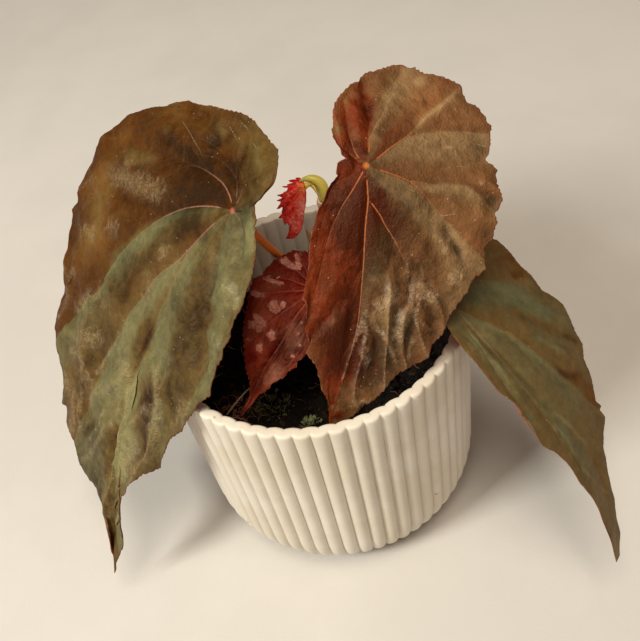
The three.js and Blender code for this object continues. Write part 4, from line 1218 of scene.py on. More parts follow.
right_look = {
    "seed": 11, "mesh": (430, 90),
    "branching": 6, "redder": 0.04, "quilt": 0.9, "veining": 0.15, "pucker_size": 1.0, "crumple": 1.0,
    "wave": 0.6, "rib": 0.8, "tooth": 0.75, "tooth_spacing": 2.0, "thickness": 0.9,
    "tints": [[1.1, 1.1], [1.1, 0.95], [0.75, 0.8], [0.6, 0.85], [0.5, 0.3], [0.3, 0.45], [0.5, 0.08],
        [0.5, 0.25], [0.5, 0.05], [0.55, 0.4], [0.6, 0.15], [0.35, 0.5], [0.7, 0.5], [0.68, 0.7],
        [0.75, 0.9]],
    "pleats": [[5.8, 9.9, 0.4, 2.8, 0.8, 1.7], [10.6, 14.6, 0.66, 1.6, 0.3, 1.3]],
    "scratches": [[[15.5, 0.72], [15.45, 0.72]], [[14.55, 0.83], [14.5, 0.83]], [[13.35, 0.7], [13.3, 0.7]],
        [[12.85, 0.72], [12.85, 0.73]], [[13.4, 0.9], [13.35, 0.94]], [[11.05, 0.61], [11.25, 0.67]]],
    "veins": [
        [[0.82, 0.2, 0], [0.8, 0.95, 0]],
        [[2.65, 0.05, 1], [2.5, 0.23, 0.9], [2.3, 0.42, 0.7], [2.55, 0.6, 0.3], [3.6, 0.75, 0],
         [3.9, 0.96, 0]],
        [[6.7, 0.38, 0.2], [5.6, 0.52, 0], [4.8, 0.66, 0], [4.3, 0.95, 0]],
        [[6.95, 0.03, 1], [7.15, 0.13, 1], [6.75, 0.22, 1], [6.65, 0.45, 1], [6.6, 0.62, 0.8],
         [6.3, 0.8, 0.2], [6.1, 0.98, 0]],
        [[6.7, 0.56, 0.2], [7.05, 0.65, 0], [7.35, 0.77, 0], [7.7, 0.96, 0]],
        [[7.3, 0.14, 1], [8.55, 0.24, 0.9], [9.05, 0.38, 0.7], [9.2, 0.56, 0.2], [9, 0.76, 0],
         [8.3, 0.97, 0]],
        [[11.95, 0.06, 1], [11.85, 0.3, 0.9], [11.3, 0.47, 0.6], [11, 0.62, 0.1], [10.9, 0.8, 0],
         [10.8, 0.96, 0]],
        [[11.85, 0.3, 0.7], [12, 0.45, 0.3], [12.05, 0.6, 0], [12.2, 0.96, 0]],
        [[14.7, 0.38, 0.4], [14.2, 0.53, 0], [13.95, 0.68, 0], [13.6, 0.96, 0]],
        [[14.6, 0.06, 1], [14.8, 0.2, 1], [14.75, 0.4, 0.8], [14.9, 0.54, 0.2], [14.95, 0.96, 0]],
        [[16.4, 0.1, 0.9], [16.6, 0.25, 0.5], [16.15, 0.48, 0.1], [16, 0.96, 0]],
        [[16.75, 0.2, 0.1], [16.65, 0.45, 0], [16.9, 0.68, 0], [17, 0.96, 0]],
        [[18.9, 0.2, 0.8], [18.3, 0.4, 0.5], [18, 0.6, 0.1], [17.7, 0.8, 0], [17.7, 0.96, 0]],
        [[19.35, 0.3, 0.7], [19.3, 0.6, 0.3], [19.3, 0.95, 0]],
    ],
    "strokes": [
        [9, 0, 0.35, -0.4, 0, [[10.4, 0.2], [8.4, 0.2], [5, 0.2], [3, 0.25], [1, 0.28], [0, 0.25]]],
        [9, 0, 0.3, -0.3, 0, [[2.4, 0.2], [3.4, 0.35], [3.2, 0.5]]],
        [7, 0, 0.25, -0.5, 0, [[6.5, 0.15], [6.6, 0.5], [6.5, 0.85]]],
        [6, 0, 0.35, -0.4, 0, [[6.4, 0.58], [6.6, 0.84]]], [5, 0, 0.2, -0.3, 0, [[7.5, 0.38], [7.6, 0.5]]],
        [7, 0, 0.1, -0.4, 0, [[9.6, 0.15], [9.6, 0.45], [9.2, 0.8]]],
        [6, 0, 0.2, -0.45, 0, [[5.6, 0.6], [5.4, 0.8], [4.6, 0.85], [4.4, 0.97]]],
        [7, 0, -0.2, -0.3, 0, [[8.4, 0.7], [8, 0.95]]], [6, 0, 0, -0.3, 0, [[7, 0.95], [8.2, 0.93]]],
        [6, 0, 0.35, -0.5, 0, [[16.5, 0.25], [16.6, 0.72]]],
        [7, 0, 0.2, -0.4, 0, [[17.5, 0.32], [18.4, 0.3], [19.6, 0.27]]],
        [4, 0, -0.3, 0.35, 0, [[7.6, 0.56], [7.6, 0.74]]], [4, 0, -0.2, 0.3, 0, [[8.5, 0.42], [8.5, 0.58]]],
        [6, 0, 0, 0.5, 0, [[12.6, 0.82], [12.6, 0.97]]], [6, 0, 0, 0.3, 0, [[10.5, 0.7], [11.4, 0.95]]],
        [8, 0, 0, 0.55, 0, [[14.8, 0.85], [15.6, 0.6]]],
        [7, 0, 0, 0.55, 0, [[17.4, 0.85], [18.6, 0.75], [19.4, 0.85]]],
        [1, -0.55, 0.3, -0.45, 0, [[16.9, 0.93], [16.9, 0.74], [16.8, 0.58], [16.65, 0.4]]],
        [1.8, 0.39, 0.2, 0.15, 0, [[17.35, 0.88], [17.45, 0.69], [17.35, 0.51], [17, 0.36]]],
        [1.2, -0.33, 0.2, -0.3, 0, [[17.75, 0.83], [17.95, 0.61], [18.25, 0.38]]],
        [1.2, 0.11, -0.5, -0.1, 0, [[18.8, 0.87]]],
        [1.5, 0.5, -0.45, 0.35, 0.1, [[16, 0.95], [16, 0.79], [16.15, 0.64], [16.25, 0.51], [16.35, 0.38],
         [16.3, 0.18]]],
        [1.4, 0.17, -0.3, 0.25, 0.1, [[15.7, 0.88], [15.5, 0.9]]],
        [3, 0, 0.12, -0.12, 0, [[15.3, 0.62], [15.2, 0.45], [15.4, 0.37], [15.65, 0.17]]],
        [0.8, -0.17, 0.1, -0.35, 0, [[15.25, 0.73]]],
        [1.6, 0.11, 0.05, 0.12, 0, [[15.35, 0.89], [15.25, 0.97]]],
        [1.1, 0.44, -0.4, 0.28, 0.1, [[14.95, 1], [14.9, 0.84], [14.9, 0.7], [14.9, 0.58], [14.75, 0.46]]],
        [1.4, 0.39, -0.6, 0.12, 0.1, [[14.4, 0.4], [14.15, 0.5], [13.95, 0.62], [13.7, 0.77],
         [13.55, 0.91]]],
        [0.5, 0.22, -0.3, 0.35, 0.4, [[13.9, 0.48], [13.8, 0.55]]],
        [0.5, 0.22, -0.3, 0.35, 0.4, [[13.5, 0.62], [13.4, 0.73]]],
        [0.35, -0.22, 0, -0.4, 0, [[13.9, 0.61], [13.5, 0.6]]],
        [2.5, 0, -0.1, 0, 0, [[13.45, 0.27], [13.4, 0.48], [13.05, 0.63]]],
        [3.2, 0.11, 0.05, 0.05, 0, [[12.7, 0.82], [12.5, 0.93]]],
        [0.5, 0.11, 0.2, 0.5, 1, [[12.4, 0.83], [12.45, 0.88]]],
        [2, 0.28, -0.8, 0.05, 0.1, [[10.3, 0.08], [10.8, 0.23], [10.8, 0.37], [10.6, 0.46], [10.5, 0.59]]],
        [1.4, -0.28, 0.5, -0.4, 0, [[9.25, 0.11], [9.5, 0.18], [9.5, 0.22]]],
        [1.1, 0.39, -0.6, 0.15, 0.1, [[11.6, 0.38], [12.05, 0.57], [12.15, 0.73], [11.95, 0.87]]],
        [1.2, -0.22, 0, -0.4, 0, [[12.05, 0.92]]],
        [0.9, -0.55, -0.2, -0.5, 0, [[10.85, 0.62], [10.75, 0.7], [10.6, 0.78], [10.55, 0.86]]],
        [0.8, 0.39, -0.2, 0.3, 0.5, [[10.5, 0.62], [10.4, 0.71], [10.3, 0.77]]],
        [0.8, 0.28, 0.1, 0.2, 0.1, [[10.95, 0.8], [11, 0.91], [10.85, 0.98]]],
        [3, 0, 0.3, 0, 0, [[0.85, 0.82], [2.3, 0.83]]],
        [2.8, -0.28, -0.2, -0.4, 0, [[4.45, 0.18], [4.55, 0.28], [4.55, 0.42]]],
        [0.9, -0.22, 0.7, -0.1, 0, [[6.65, 0.17], [6.6, 0.27], [6.6, 0.35]]],
        [2.4, -0.22, -0.2, -0.4, 0, [[8.3, 0.26], [8.3, 0.34], [8.3, 0.44]]],
        [2.2, 0.17, 0, 0.05, 0, [[9.75, 0.29], [9.75, 0.43], [9.55, 0.54]]],
        [3, 0, 0.2, -0.05, 0, [[2.3, 0.95], [3.05, 0.89], [3.95, 0.84]]],
        [1.1, -0.22, 1, -0.1, 0, [[6.2, 0.42], [4.85, 0.61], [4.6, 0.74], [4.4, 0.88]]],
        [2.8, 0.17, -0.05, -0.15, 0, [[5.3, 0.62], [5.15, 0.76], [5.05, 0.88]]],
        [1.5, -0.33, 0.4, -0.4, 0, [[6.2, 0.52], [6.45, 0.63], [6.45, 0.72], [6.35, 0.82]]],
        [2.4, 0, -0.5, -0.12, 0, [[7.4, 0.41], [7.3, 0.5]]],
        [1.2, 0.33, -0.3, 0.2, 1, [[8, 0.54], [8.05, 0.63], [7.65, 0.63], [7.25, 0.63]]],
        [0.35, -0.28, 0, -0.5, 0, [[7, 0.56], [7.35, 0.62]]],
        [0.6, 0.5, -0.2, 0.4, 0.6, [[7.15, 0.63], [7.45, 0.73], [7.75, 0.82], [7.9, 0.91], [7.95, 0.98]]],
        [0.9, -0.55, 0.1, -0.5, 0, [[9.3, 0.58], [9.05, 0.63], [8.85, 0.69], [8.35, 0.72], [8, 0.77]]],
        [1.1, 0.44, -0.4, 0.35, 0.9, [[8.7, 0.72], [8.3, 0.78], [8.15, 0.83], [8.05, 0.88]]],
        [0.7, -0.5, 0, -0.5, 0, [[8.95, 0.76], [8.75, 0.83], [8.45, 0.88], [8.2, 0.97]]],
        [1.5, 0.39, -0.4, 0.2, 0.7, [[9.25, 0.63], [9.35, 0.71], [9.45, 0.8], [9.4, 0.86]]],
        [0.5, -0.33, 0, -0.45, 0, [[9.5, 0.68], [9.55, 0.78], [9.6, 0.89]]],
        [0.5, 0.33, 0, 0.3, 0.4, [[9, 0.82], [9.1, 0.88], [9.2, 0.94]]],
        [0.35, -0.28, 0, -0.4, 0, [[9.15, 0.86], [9.25, 0.93]]],
        [0.7, 0.33, -0.2, 0.25, 0.4, [[8.8, 0.89], [8.45, 0.93], [8.25, 1]]],
        [1.1, 0.22, 0, 0.35, 1, [[10, 0.82], [10.1, 0.88], [10.15, 0.94]]],
        [0.9, -0.55, -0.3, -0.65, 0, [[10.65, 0.77], [10.55, 0.83], [10.35, 0.88]]],
        [1.1, 0.28, -0.1, 0.1, 0.6, [[6.9, 0.71], [6.85, 0.76], [7, 0.83], [6.9, 0.84]]],
        [1.6, -0.44, 0.3, -0.5, 0, [[7.25, 0.83], [7.3, 0.92], [7.15, 0.93]]],
        [0.5, 0.33, 0, 0.3, 0.3, [[6.55, 0.86], [6.75, 0.9], [7, 0.98]]],
        [0.8, 0.28, -0.1, 0.25, 0.3, [[6.45, 0.9], [6.55, 0.95]]],
        [1.5, 0, 0.6, -0.1, 0, [[6.2, 0.95], [6.35, 0.97]]], [0.7, 0.17, -0.6, 0.2, 0.3, [[5.1, 1]]],
        [0.7, 0.17, -0.6, 0.2, 0.3, [[6.05, 0.91]]], [1, 0.17, 0, 0.2, 0, [[7.6, 0.94], [7.75, 1]]],
    ],
}
copper_finish = leaf_finish(
    "copper_leaf", 0.16, 0.7, Cool=(0.200, 0.122, 0.056), Body=(0.142, 0.064, 0.024),
    Warm=(0.142, 0.019, 0.003), Margin=(0.26, 0.070, 0.040), Vein=(0.40, 0.115, 0.036),
    Far_Vein=(0.30, 0.11, 0.045), Knot=(0.50, 0.165, 0.035), Rib=(0.45, 0.14, 0.07),
    Underside=(0.26, 0.045, 0.03), Dust=(0.44, 0.34, 0.22), Vein_Width=0.2, Side_Vein_Share=0.1,
    Knot_Size=0.65, Margin_Width=0.9, Dust_Share=0.5, Dust_Edge=0.35, Speck_Share=0.1, Pebble=0.12,
    Mottle=0.75, Crumple=0.9, Shine=0.35)
make_piece("right_leaf", blade_shape(right_blade, right_look), copper_finish, "blade_copper", "leaf_right")
make_stalk(
    "right_stalk", right_blade, [(10.2, 16, 88), (15.5, 12, 108), (21, 4.5, 125)],
    1.3, 20, 90, stalk_finish, "stalk", "stalk_right", 240)

# The back-right leaf: old and smooth, grey-green at its knot and brown towards its long tip, which
# hangs down outside the pot. Its notch and its knot are under the right leaf.
back_blade = Blade(
    [38.6, -23.7, 99], [0.45, -0.25, 0.85], [0.58, -0.59, -0.55], 0.42, 0.2, 0,
    [[-126, 7], [-60, 8.5], [-33, 16.5], [-17, 34.5], [-15, 46], [-7, 60], [-5, 74.5], [-4, 101.5], [3, 81],
     [15, 67.5], [23, 58.5], [46, 49.5], [69, 38.5], [97, 35], [122, 23.5], [178, 7.5]], 7,
    [[0.98, 1.8, -0.5], [1.38, -2.2, 0.5], [1.98, -1.1, 0.3], [2.3, -1.1, 0.2], [2.68, -2.2, 0.2],
     [3, 0.4, 0.1], [3.38, -0.4, -0.1], [3.68, 1.6, 0.3], [4.23, -1, 0.1], [4.58, 0, 0], [5.03, -1, -0.2],
     [5.6, -1.6, -0.8], [5.95, -0.2, 0], [6.33, 0.7, 0.4], [6.53, 0.5, 0.3], [6.73, -0.1, 0.1],
     [7, -0.4, -0.3], [7.12, 1, 1.6], [7.45, 1.4, 2.3], [7.62, 0.7, 0.8], [7.88, 0.6, 0.9],
     [8.2, -0.9, -1.6], [8.43, -1.2, -1.7], [8.58, -1.8, -2.8], [8.88, -1.3, -1.5], [9.15, 0.6, 0.7],
     [9.35, -0.2, -0.2], [9.45, 0.9, 1], [9.65, -0.8, -0.8], [10.03, -0.2, -0.2], [10.2, -0.6, -0.6],
     [10.4, -0.7, -1.6], [10.58, -0.4, -0.6], [10.73, -0.7, -1.4], [10.95, -0.7, -1], [11.15, 0, 0.3],
     [11.28, -0.2, -1], [11.53, -1.8, -3.2], [11.8, -1.1, -1.5], [12.05, -0.5, -1.1], [12.4, -0.1, 0.3],
     [12.7, 0.2, 0.4]])
back_look = {
    "seed": 23, "mesh": (380, 90),
    "branching": 5, "redder": 0.25, "quilt": 0.8, "veining": 0.12, "pucker_size": 1.3, "crumple": 0.5,
    "wave": 0.4, "rib": 0.8, "tooth": 0.4, "tooth_spacing": 2.0, "thickness": 1.0,
    "tints": [[0.2, 0.25], [0.2, 0.35], [0.35, 0.2], [0.3, 0.2], [0.62, 0.05], [0.12, 0.6], [0.5, 0.3],
        [0.3, 0.3]],
    "scratches": [[[5.1, 0.53], [5.4, 0.5]]],
    "veins": [
        [[3, 0.1, 0.1], [3.5, 0.5, 0], [3.9, 0.96, 0]], [[4.9, 0.1, 0.2], [5.2, 0.5, 0.1], [5.6, 0.96, 0]],
        [[6.7, 0.05, 0.6], [6.8, 0.17, 0.3], [7.05, 0.25, 0.2], [7.4, 0.42, 0.1], [7.8, 0.6, 0],
         [8, 0.8, 0], [7.6, 0.97, 0]],
        [[8.3, 0.05, 0.6], [8.85, 0.13, 0.3], [9.35, 0.26, 0.2], [9.6, 0.43, 0.1], [9.25, 0.55, 0],
         [9.1, 0.66, 0], [9.3, 0.96, 0]],
        [[11.9, 0.08, 0.3], [12, 0.29, 0.1], [11.5, 0.51, 0], [11.3, 0.67, 0], [11.05, 0.96, 0]],
        [[12.9, 0.1, 0.2], [12.6, 0.5, 0], [12.4, 0.96, 0]], [[14, 0.1, 0.2], [14, 0.96, 0]],
    ],
    "strokes": [
        [2, 0.44, -0.5, 0.12, 0.1, [[12, 0.45], [11.65, 0.53], [11.3, 0.6], [11.05, 0.71], [11, 0.79]]],
        [1.5, -0.28, 0.4, -0.3, 0, [[11.9, 0.75], [11.95, 0.93]]],
        [1.3, 0.28, -0.2, 0.15, 0.1, [[11.65, 0.8], [11.7, 0.97]]],
        [2, -0.44, 0.4, -0.25, 0, [[10.95, 0.42], [10.75, 0.52], [10.65, 0.68], [10.6, 0.81]]],
        [1.6, -0.22, 0.5, -0.35, 0, [[10.6, 0.81], [10.55, 0.95]]],
        [1, 0.44, -0.2, 0.25, 0.1, [[5.95, 0.06], [8.25, 0.11], [9.2, 0.23], [9.75, 0.36], [9.45, 0.45],
         [9.3, 0.51], [9.15, 0.6], [9.15, 0.69], [9.2, 0.79], [9.2, 0.9]]],
        [0.9, 0.33, -0.2, 0.15, 0.1, [[10.1, 0.48], [10.25, 0.6], [10.25, 0.76], [10.15, 0.81]]],
        [1.2, -0.39, 0.3, -0.35, 0, [[9.3, 0.63], [9.65, 0.75], [10, 0.89]]],
        [1, -0.39, 0, -0.3, 0, [[5.55, 0.14], [6.75, 0.15], [7.2, 0.21], [7.35, 0.28], [7.55, 0.38],
         [7.5, 0.44]]],
        [1, 0.28, -0.2, 0.15, 0, [[2.75, 0.33], [3.1, 0.43], [4.45, 0.43], [4.75, 0.52]]],
        [0.7, 0.39, -0.1, 0.25, 0.2, [[7.4, 0.46], [7.8, 0.57], [7.95, 0.66], [8, 0.73], [8.1, 0.8]]],
        [0.6, 0.33, -0.1, 0.2, 0.2, [[5.35, 0.7], [7.1, 0.48], [7.35, 0.57], [5.1, 0.89]]],
        [1.6, 0, -0.3, 0.05, 0, [[4.3, 0.76], [4.05, 0.98]]],
        [0.8, -0.33, 0.2, -0.4, 0, [[7, 0.58], [7.05, 0.63]]],
        [0.4, 0.22, 0, 0.25, 0.2, [[7.15, 0.63], [7.35, 0.73], [7.9, 0.98]]],
        [2.5, 0, 0.3, 0, 0, [[8.15, 0.82], [7.4, 0.88]]],
        [2, 0, 0.35, -0.05, 0, [[9.95, 0.93], [9.55, 0.96]]],
    ],
}
dusk_finish = leaf_finish(
    "dusk_leaf", 0.16, 0.4, Cool=(0.130, 0.128, 0.062), Body=(0.150, 0.096, 0.033),
    Warm=(0.125, 0.054, 0.012), Margin=(0.16, 0.075, 0.030), Vein=(0.26, 0.20, 0.11),
    Far_Vein=(0.26, 0.19, 0.10), Knot=(0.40, 0.22, 0.12), Rib=(0.30, 0.12, 0.07),
    Underside=(0.20, 0.045, 0.03), Dust=(0.34, 0.28, 0.16), Vein_Width=0.36, Side_Vein_Share=0.05,
    Knot_Size=1.2, Margin_Width=1.0, Dust_Share=0.4, Dust_Edge=0.4, Speck_Share=0.04, Pebble=0.08,
    Mottle=0.6, Crumple=0.15, Shine=0.25)
make_piece(
    "back_right_leaf", blade_shape(back_blade, back_look), dusk_finish, "blade_olive", "leaf_back_right")
make_stalk(
    "back_right_stalk", back_blade, [(8, 16.9, 76), (22, 0, 90), (34, -17, 96)],
    1.3, 20, 100, stalk_finish, "stalk", "stalk_back_right", 240)

# The centre leaf: a half-grown leaf low in the middle, wine red and strongly puckered, with a fine
# pale-toothed edge. Its hollows are dark red with painted shade, and its ridges carry painted pink
# highlights.
centre_blade = Blade(
    [3.8, -6.4, 98], [0.2, -0.45, 0.87], [-0.57, -0.82, -0.07], 1, 0.5, 0,
    [[-187, 4.5], [-157, 13], [-129, 14.5], [-98, 16.5], [-72, 19.5], [-45, 23], [-22, 29], [-10, 35.5],
     [-5, 47], [-3, 39], [1, 32.5], [12, 23], [27, 17], [91, 6]], 8,
    [[1.55, 0.7, -0.6], [1.73, -0.2, 0.2], [1.85, 0, -0.1], [2.1, -1.3, 0.9], [2.25, -1.3, 0.7],
     [2.5, -0.8, 0.4], [2.75, -0.8, 0.4], [2.95, -1.1, 0.5], [3.1, 0.5, -0.1], [3.33, 0.1, 0.1],
     [3.5, 0.4, -0.2], [3.68, 1.2, -0.5], [3.93, -1.3, 0.7], [4.15, -0.7, 0.6], [4.35, -0.7, 0.4],
     [4.62, 0.1, 0.1], [4.85, 0, -0.1], [5.05, 0, 0.2], [5.23, -0.5, 0.4], [5.38, -0.5, 0.5],
     [5.62, -0.7, 0.5], [5.88, -0.5, 0.4], [6.12, -0.7, 0.5], [6.43, -1.1, 0.6], [6.7, -0.6, 0.3],
     [7, 0.6, -0.3], [7.23, 1.3, -0.4], [7.45, 2.6, -0.2], [7.68, 0.8, -0.1], [8, -0.6, 0.8],
     [8.68, 0.6, 0.1], [8.97, 0.4, 0], [9.43, -0.4, -0.1], [9.58, 0.8, 0.2], [9.93, 0.8, 0.1],
     [10.03, -0.5, -0.2], [10.28, 0, 0], [10.5, 1.1, 0.4], [10.62, 0, -0.1], [10.88, 1.9, 0.4],
     [11, -1, -0.4], [11.3, 0.5, 0.1], [11.6, 0.3, 0.1]])
centre_look = {
    "seed": 31, "mesh": (300, 70),
    "branching": 10, "redder": 0, "quilt": 0.7, "veining": 0.35, "pucker_size": 0.62, "crumple": 0.3,
    "wave": 0.4, "rib": 0.5, "tooth": 0.7, "tooth_spacing": 1.9, "thickness": 0.8,
    "tints": [[0.7, 0.6], [0.9, 0.8], [0.9, 0.9], [1, 0.8], [1, 0.8], [0.95, 0.7], [0.8, 0.6], [0.6, 0.5],
        [0.6, 0.4], [0.6, 0.5], [0.7, 0.7]],
    "veins": [
        [[1.1, 0.1, 0.5], [1.1, 0.96, 0.2]], [[2.15, 0.1, 0.7], [2.1, 0.5, 0.5], [2, 0.96, 0.3]],
        [[2.55, 0.1, 0.7], [2.6, 0.5, 0.5], [2.75, 0.96, 0.3]],
        [[3.3, 0.1, 0.7], [3.45, 0.55, 0.5], [3.75, 0.96, 0.3]], [[4.25, 0.1, 0.7], [4.5, 0.96, 0.4]],
        [[5.4, 0.1, 0.7], [5.8, 0.96, 0.4]],
        [[6.3, 0.05, 1], [6.75, 0.35, 0.9], [7.3, 0.46, 0.8], [7.4, 0.72, 0.7], [8, 0.85, 0.4],
         [8, 0.97, 0.2]],
        [[9.3, 0.15, 0.4], [9.7, 0.96, 0.2]], [[10.9, 0.1, 0.4], [11.2, 0.96, 0.2]],
        [[12.1, 0.1, 0.3], [12.3, 0.96, 0.1]],
    ],
    "strokes": [
        [5, 0, 0.1, -0.5, 0, [[9.5, 0.85], [10.2, 0.5], [11.5, 0.4]]],
        [6, 0, 0, -0.3, 0, [[0.5, 0.2], [0.5, 0.9]]],
        [5, 0, -0.35, 0.6, 0, [[3.5, 0.85], [4.4, 0.78], [5.3, 0.75], [5.6, 0.92]]],
        [5, 0, -0.15, 0.5, 0, [[6.5, 0.72], [6.2, 0.88]]],
        [4, 0, -0.15, 0.5, 0, [[5.6, 0.12], [7, 0.14], [8.6, 0.12]]],
        [0.5, 0.28, 0, 0.6, 1, [[2.05, 0.98], [2.2, 0.78], [2.5, 0.51]]],
        [0.45, 0.22, 0, 0.5, 1, [[2.5, 0.99], [2.65, 0.85], [2.6, 0.68], [2.5, 0.55]]],
        [0.4, 0.22, 0, 0.5, 1, [[2.75, 1], [2.75, 0.81], [2.6, 0.58]]],
        [0.5, 0.28, 0, 0.5, 1, [[3.8, 0.93], [3.85, 0.74], [3.95, 0.5]]],
        [0.4, 0.17, 0, 0.4, 1, [[3.65, 0.88], [3.7, 0.85]]],
        [0.4, 0.17, 0, 0.4, 1, [[3.55, 0.73], [3.65, 0.68]]],
        [0.5, 0.28, 0, 0.5, 1, [[4.35, 1], [4.45, 0.87], [4.55, 0.73]]],
        [1, 0.28, 0, 0.5, 1, [[4.75, 0.67], [5.1, 0.59], [5.55, 0.53]]],
        [0.6, 0.17, 0, 0.5, 1, [[5.05, 0.53], [5.4, 0.43]]],
        [0.65, 0.28, 0, 0.5, 1, [[5.05, 0.88], [5.25, 0.82], [5.5, 0.75], [5.7, 0.66]]],
        [0.75, 0.22, 0, 0.4, 0.9, [[5.2, 0.99], [5.5, 0.84], [5.75, 0.73]]],
        [0.9, 0.28, 0, 0.4, 0.9, [[5.9, 0.66], [6.7, 0.6]]],
        [1.1, 0.22, -0.2, 0.3, 0.8, [[6.05, 0.86], [6.4, 0.76]]],
        [1, 0.22, 0, 0.3, 0.6, [[5.65, 0.94], [5.75, 0.95]]],
        [1.2, -0.5, 0.3, -0.4, 0, [[7.7, 0.39], [7.4, 0.48], [7.25, 0.61], [7.4, 0.68], [7.85, 0.73],
         [8.5, 0.86]]],
        [1.5, -0.22, 0.2, -0.3, 0, [[6.1, 0.92], [6.55, 0.93]]],
        [2.6, 0.17, -1.2, 0.1, 0, [[8.7, 0.27], [9.9, 0.48], [10.15, 0.63]]],
        [2.6, 0.17, -0.8, 0.1, 0, [[9.9, 0.73], [9.65, 0.83], [9.2, 0.89]]],
        [0.6, 0.22, -0.4, 0.4, 0.5, [[9.95, 0.43], [10.55, 0.52]]],
        [0.5, 0.22, -0.4, 0.4, 0.5, [[10.65, 0.68], [11, 0.75]]],
        [0.6, 0.22, -0.4, 0.4, 0.5, [[10.4, 0.75], [10.75, 0.83]]],
        [0.5, 0.22, -0.4, 0.3, 0.4, [[9.4, 0.3], [10.3, 0.35]]],
    ],
}
wine_finish = leaf_finish(
    "wine_leaf", 0.12, 0.8, Cool=(0.26, 0.085, 0.050), Body=(0.17, 0.024, 0.010), Warm=(0.14, 0.003, 0.0),
    Margin=(0.34, 0.11, 0.08), Vein=(0.46, 0.12, 0.09), Far_Vein=(0.34, 0.10, 0.075),
    Knot=(0.50, 0.14, 0.10), Rib=(0.50, 0.16, 0.12), Underside=(0.32, 0.05, 0.04), Dust=(0.74, 0.33, 0.255),
    Vein_Width=0.24, Side_Vein_Share=0.2, Knot_Size=0.9, Margin_Width=0.5, Dust_Share=0.9, Dust_Edge=0.12,
    Speck_Share=0.04, Pebble=0.15, Mottle=0.8, Crumple=0.7, Shine=0.4, Dust_Grain=0.5, Dust_Fray=1.5)
make_piece("centre_leaf", blade_shape(centre_blade, centre_look), wine_finish, "blade_wine", "leaf_centre")
make_stalk(
    "centre_stalk", centre_blade, [(7.3, 17.3, 70), (5.5, 8, 80), (3.9, -1, 90)],
    1.1, 18, 80, wine_stalk_finish, "stalk", "stalk_centre", 200)

# The young leaf: just unfolded at the top of the stem, crimson and glossy with painted pink highlights, its
# edge drawn out into soft points and its skin pebbled. A short yellow-green stalk holds it.
young_blade = Blade(
    [7, 16.2, 120], [-0.6, -0.6, 0.5], [-0.2, -0.1, -1], 0.8, 0.5, 0,
    [[-151, 1.5], [-114, 4], [-75, 7.5], [-46, 12.5], [-25, 15], [-12, 19.5], [4, 15], [12, 7.5],
     [24, 4]], 5,
    [[0.25, 0.8, 0], [0.65, 0.3, 0], [0.93, 8.5, 0.2], [1.05, 8.3, -0.8], [1.5, 7.9, 0.6],
     [1.62, 6.4, -0.7], [1.74, 0.9, -2.3], [1.95, 2.2, -0.6], [1.98, 5.9, -1.1], [2.11, 1, 0.8],
     [2.15, 3.5, -0.3], [2.19, 3.7, -2], [2.25, 8.3, -1.7], [2.4, 4.4, -1.2], [2.53, 3.5, -1],
     [2.68, -2.1, 0.7], [2.71, 0.5, -0.5], [2.74, 2.6, -1.4], [2.8, 4.9, -1.6], [2.9, -0.6, 0.4],
     [2.95, 2.8, -1.2], [3.08, 1.9, -1], [3.3, -0.9, 0.7], [3.33, 0.5, -0.2], [3.36, 0.9, -1.9],
     [3.4, 2.7, -1.5], [3.53, 1.3, -0.9], [3.65, 1.8, -0.8], [3.8, -2.2, 1.1], [3.85, -0.7, 0.8],
     [3.93, -0.1, -0.4], [4.08, 0.9, -0.3], [4.2, 3.1, -0.2], [4.28, 3.6, -1.9], [4.35, 6.2, -1.8],
     [4.58, 4.4, -1.4], [4.7, 5.4, -1.6], [5.11, 2.5, -1.3], [5.22, -3.1, 1], [5.4, 0.5, 0.5],
     [5.9, -0.2, 0], [6.23, 0.4, -0.1], [6.6, 1.2, 0], [7.15, 0.3, 0], [7.98, -0.5, 0], [8.01, 0.9, -2]])
young_look = {
    "seed": 41, "mesh": (460, 60),
    "branching": 16, "redder": 0.1, "quilt": 0.45, "veining": 0.3, "pucker_size": 0.34, "crumple": 0.2,
    "wave": 0.1, "rib": 0.35, "tooth": 0.2, "tooth_spacing": 0.9, "thickness": 0.75,
    "tints": [[0.8, 0.7], [0.8, 0.6], [0.8, 0.6], [0.7, 0.8], [0.9, 0.8], [0.6, 0.5], [0.5, 0.4],
        [0.5, 0.4]],
    "veins": [
        [[1.2, 0.06, 0.8], [1.2, 0.97, 0.3]], [[2.1, 0.06, 0.9], [2.1, 0.97, 0.5]],
        [[3, 0.06, 0.9], [3, 0.97, 0.5]], [[3.5, 0.08, 1], [3.9, 0.96, 0.6]],
        [[4.6, 0.06, 1], [5, 0.98, 0.6]], [[5.6, 0.1, 0.8], [6.1, 0.96, 0.2]],
        [[7.1, 0.06, 0.6], [7.1, 0.97, 0.1]],
    ],
    "strokes": [
        [0.5, 0.17, -0.9, 0.3, 0, [[2.05, 0.12], [1.9, 0.34], [1.85, 0.54]]],
        [0.35, 0.17, -0.5, 0.3, 0.3, [[2.75, 0.11], [2.7, 0.37], [2.9, 0.58], [3.15, 0.82]]],
        [0.35, 0.17, -0.4, 0.35, 0.5, [[4.65, 0.2], [4.3, 0.4], [4.15, 0.55], [3.8, 0.8]]],
        [0.9, -0.17, 0.3, -0.25, 0, [[3.35, 0.27], [3.6, 0.52], [3.65, 0.73]]],
        [1.2, 0.11, -0.4, 0.1, 1, [[5.85, 0.21], [6, 0.4], [6.05, 0.59], [6.05, 0.79]]],
        [1.4, 0.11, -0.3, 0.1, 1, [[4.85, 0.59], [5.45, 0.75], [5.5, 0.91]]],
        [0.5, -0.17, 0.5, -0.2, 0, [[5.65, 0.64], [5.8, 0.71]]],
        [0.4, 0.11, -0.2, 0.4, 1.2, [[5, 0.53], [5.05, 0.63]]],
    ],
}
